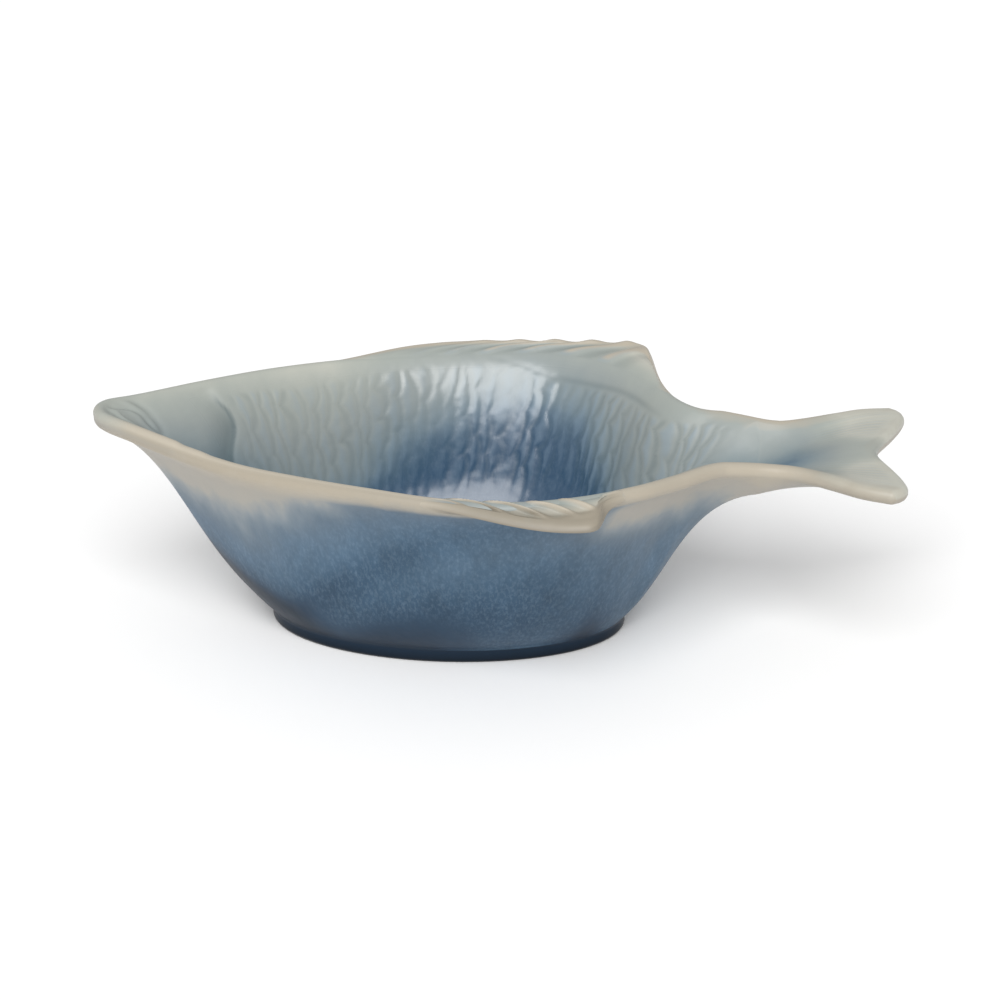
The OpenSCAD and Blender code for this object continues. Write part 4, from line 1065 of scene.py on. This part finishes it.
# the round rim is eased where it runs on from the bowl into the tail
def easedRims(count=12, rounds=60, reach=8):
    bowlAt, tailAt = pointsOf(bowl), pointsOf(tail)
    steps = bowlShape["edgeRows"]
    fade = falling(0, reach, np.arange(reach))
    for side in (1, -1):
        strip = ((rootCount if side > 0 else 0) + side * np.arange(count, -1, -1)) % strips
        for k in range(steps + 1):
            spot = (rootCount + k if side > 0 else -k) % loopSize
            bowlIds, tailIds = (edgeFirst + k) * strips + strip, np.arange(count + 1) * loopSize + spot
            line = np.concatenate([bowlAt[bowlIds], tailAt[tailIds[1:]]])
            drawn = eased(line.copy(), rounds)
            moved = drawn - line
            bowlAt[bowlIds], tailAt[tailIds] = drawn[:count + 1], drawn[count:]
            if k not in (0, steps):
                continue
            # the surfaces beside the rim follow it, less and less
            down, turn = strips * (1 if k else -1), side * (1 if k else -1)
            for r in range(1, reach):
                bowlAt[bowlIds + down * r] += moved[:count + 1] * fade[r]
                tailAt[tailIds + turn * r] += moved[count:] * fade[r]
                for q in range(reach):
                    bowlAt[rootIds[spot + turn * r] + down * q] += moved[count] * fade[r] * fade[q]
    # the bowl's flat face under the tail stays between the two surfaces
    low, high = [bowlAt[first * strips + rootStrips[1:-1]] for first in (edgeFirst, innerFirst)]
    for k in rimSteps:
        share = (1 - math.cos(math.pi * k / steps)) / 2
        bowlAt[(edgeFirst + k) * strips + rootStrips[1:-1]] = blend(low, high, share)
    for shape, points in ((bowl, bowlAt), (tail, tailAt)):
        shape.data.vertices.foreach_set("co", (points / 1000).astype(np.float32).ravel())


easedRims()
# shading normals come from the faces that show, so the seams between the pieces don't
bowlNormals = vertexNormals(pointsOf(bowl), bowlFaces, bowlHidden)
tailNormals = vertexNormals(pointsOf(tail), tailFaces, tailHidden)
footNormals = vertexNormals(pointsOf(footRing), footFaces, footHidden)


# the near rim's turn into the wall is shaded softly
def softTurn(rounds=14, below=4, above=6):
    grid = bowlNormals[:rowCount * strips].reshape(rowCount, strips, 3)
    share = (~dorsalSide * within(bowlShape["softTurn"], along))[:, None]
    band = grid[edgeFirst - below:edgeFirst + above]
    for _ in range(rounds):
        soft = unit(band[:-2] + 2 * band[1:-1] + band[2:])
        band[1:-1] = unit(blend(band[1:-1], soft, share))


softTurn()
bowlNormals[rootIds] = tailNormals[:loopSize] = unit(bowlNormals[rootIds] + tailNormals[:loopSize])
# the wall runs into the foot in a soft hollow
wallIds = wallFirst * strips + np.arange(strips)
footOut = unit(footLine * [1, 1, 0] + [footShape["shift"], 0, 0])
bowlNormals[wallIds] = unit(bowlNormals[wallIds] + footShape["hollow"] * footOut)
footNormals[np.arange(footShape["steps"]) * footSize + 1] = unit(np.stack(
    [np.interp(footTurns, turns, bowlNormals[wallIds, k], period=2) for k in range(3)], 1))


# a fin takes up the wall's shading where it starts
def finNormals(shape, name):
    mesh, faces, hidden, form = finPieces[name]
    normals = vertexNormals(pointsOf(shape), faces, hidden)
    n, count = form["gone"].shape
    own = normals[:n * count].reshape(count, n, 3)
    share = (falling(0, finShape["shadeReach"], form["gone"]) * form["onTop"][:, None]).T[:, :, None]
    own[:] = unit(blend(own, bowlNormals[innerFirst * strips + form["strip"]][:, None], share))
    return normals


for shape, normals in ((bowl, bowlNormals), (tail, tailNormals), (footRing, footNormals),
                       (dorsalFin, finNormals(dorsalFin, "dorsalFin")),
                       (bellyFin, finNormals(bellyFin, "bellyFin"))):
    shape.data.normals_split_custom_set_from_vertices(normals.tolist())
print("stage: normals set")

for shape, node, slotName in ((bowl, "bowl", "blue_glaze"), (footRing, "foot_ring", "dark_glaze"),
                              (tail, "tail", "pale_glaze"), (dorsalFin, "dorsal_fin", "pale_glaze"),
                              (bellyFin, "belly_fin", "pale_glaze")):
    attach(shape, "root")
    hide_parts(node)

# the studio: matt white paper that shows only the shadow, white surroundings and one wide soft light
studio = {
    "floorWide": 8.0, "floorColour": "fafafa", "floorRough": 0.9, "around": 0.5,
    "lightTurn": -2.0, "lightRise": 44.0, "lightWide": 46.0, "lightStrength": 2.8, "lightAway": 2.0,
    "azimuth": 5.0, "elevation": 23.5, "distance": 1.1, "target": (0.0012, -0.002, 0.0435), "lens": 122.41,
    "sensor": 36.0, "nearest": 0.01}
w = studio["floorWide"]
floorMesh = bpy.data.meshes.new("floor")
floorMesh.from_pydata([(-w, -w, 0), (w, -w, 0), (w, w, 0), (-w, w, 0)], [], [(0, 1, 2, 3)])
floor = placed("floor", floorMesh)
paper, add = newMaterial("matWhitePaper")
add("ShaderNodeOutputMaterial", add("ShaderNodeBsdfPrincipled", named={
    "Base Color": linear(studio["floorColour"]), "Roughness": studio["floorRough"]}))
floorMesh.materials.append(paper)

world = bpy.data.worlds.new("studio")
bpy.context.scene.world = world
world.use_nodes = True
world.node_tree.nodes.clear()
add = partial(addNode, world.node_tree)
seen = add("ShaderNodeLightPath", out="Is Camera Ray")
strength = add("ShaderNodeMapRange", seen, 0.0, 1.0, studio["around"], 1.0)
add("ShaderNodeOutputWorld", add("ShaderNodeBackground", (1, 1, 1, 1), strength))


# an object looks at the bowl from the camera's side, turned about it and raised above the floor, in degrees
def aimed(name, data, turn, rise, away):
    turn, rise = math.radians(turn), math.radians(rise)
    target = Vector(studio["target"])
    shape = placed(name, data)
    way = Vector((math.sin(turn) * math.cos(rise), -math.cos(turn) * math.cos(rise), math.sin(rise)))
    shape.location = target + away * way
    shape.rotation_euler = (target - shape.location).to_track_quat("-Z", "Y").to_euler()
    return shape


lamp = bpy.data.lights.new("softLight", "SUN")
lamp.angle, lamp.energy = math.radians(studio["lightWide"]), studio["lightStrength"]
aimed("softLight", lamp, studio["lightTurn"], studio["lightRise"], studio["lightAway"])
eye = bpy.data.cameras.new("camera")
eye.lens, eye.sensor_width, eye.clip_start = studio["lens"], studio["sensor"], studio["nearest"]
bpy.context.scene.camera = aimed("camera", eye, studio["azimuth"], studio["elevation"], studio["distance"])
bpy.context.scene.view_settings.view_transform = "Standard"
print("stage: studio set")
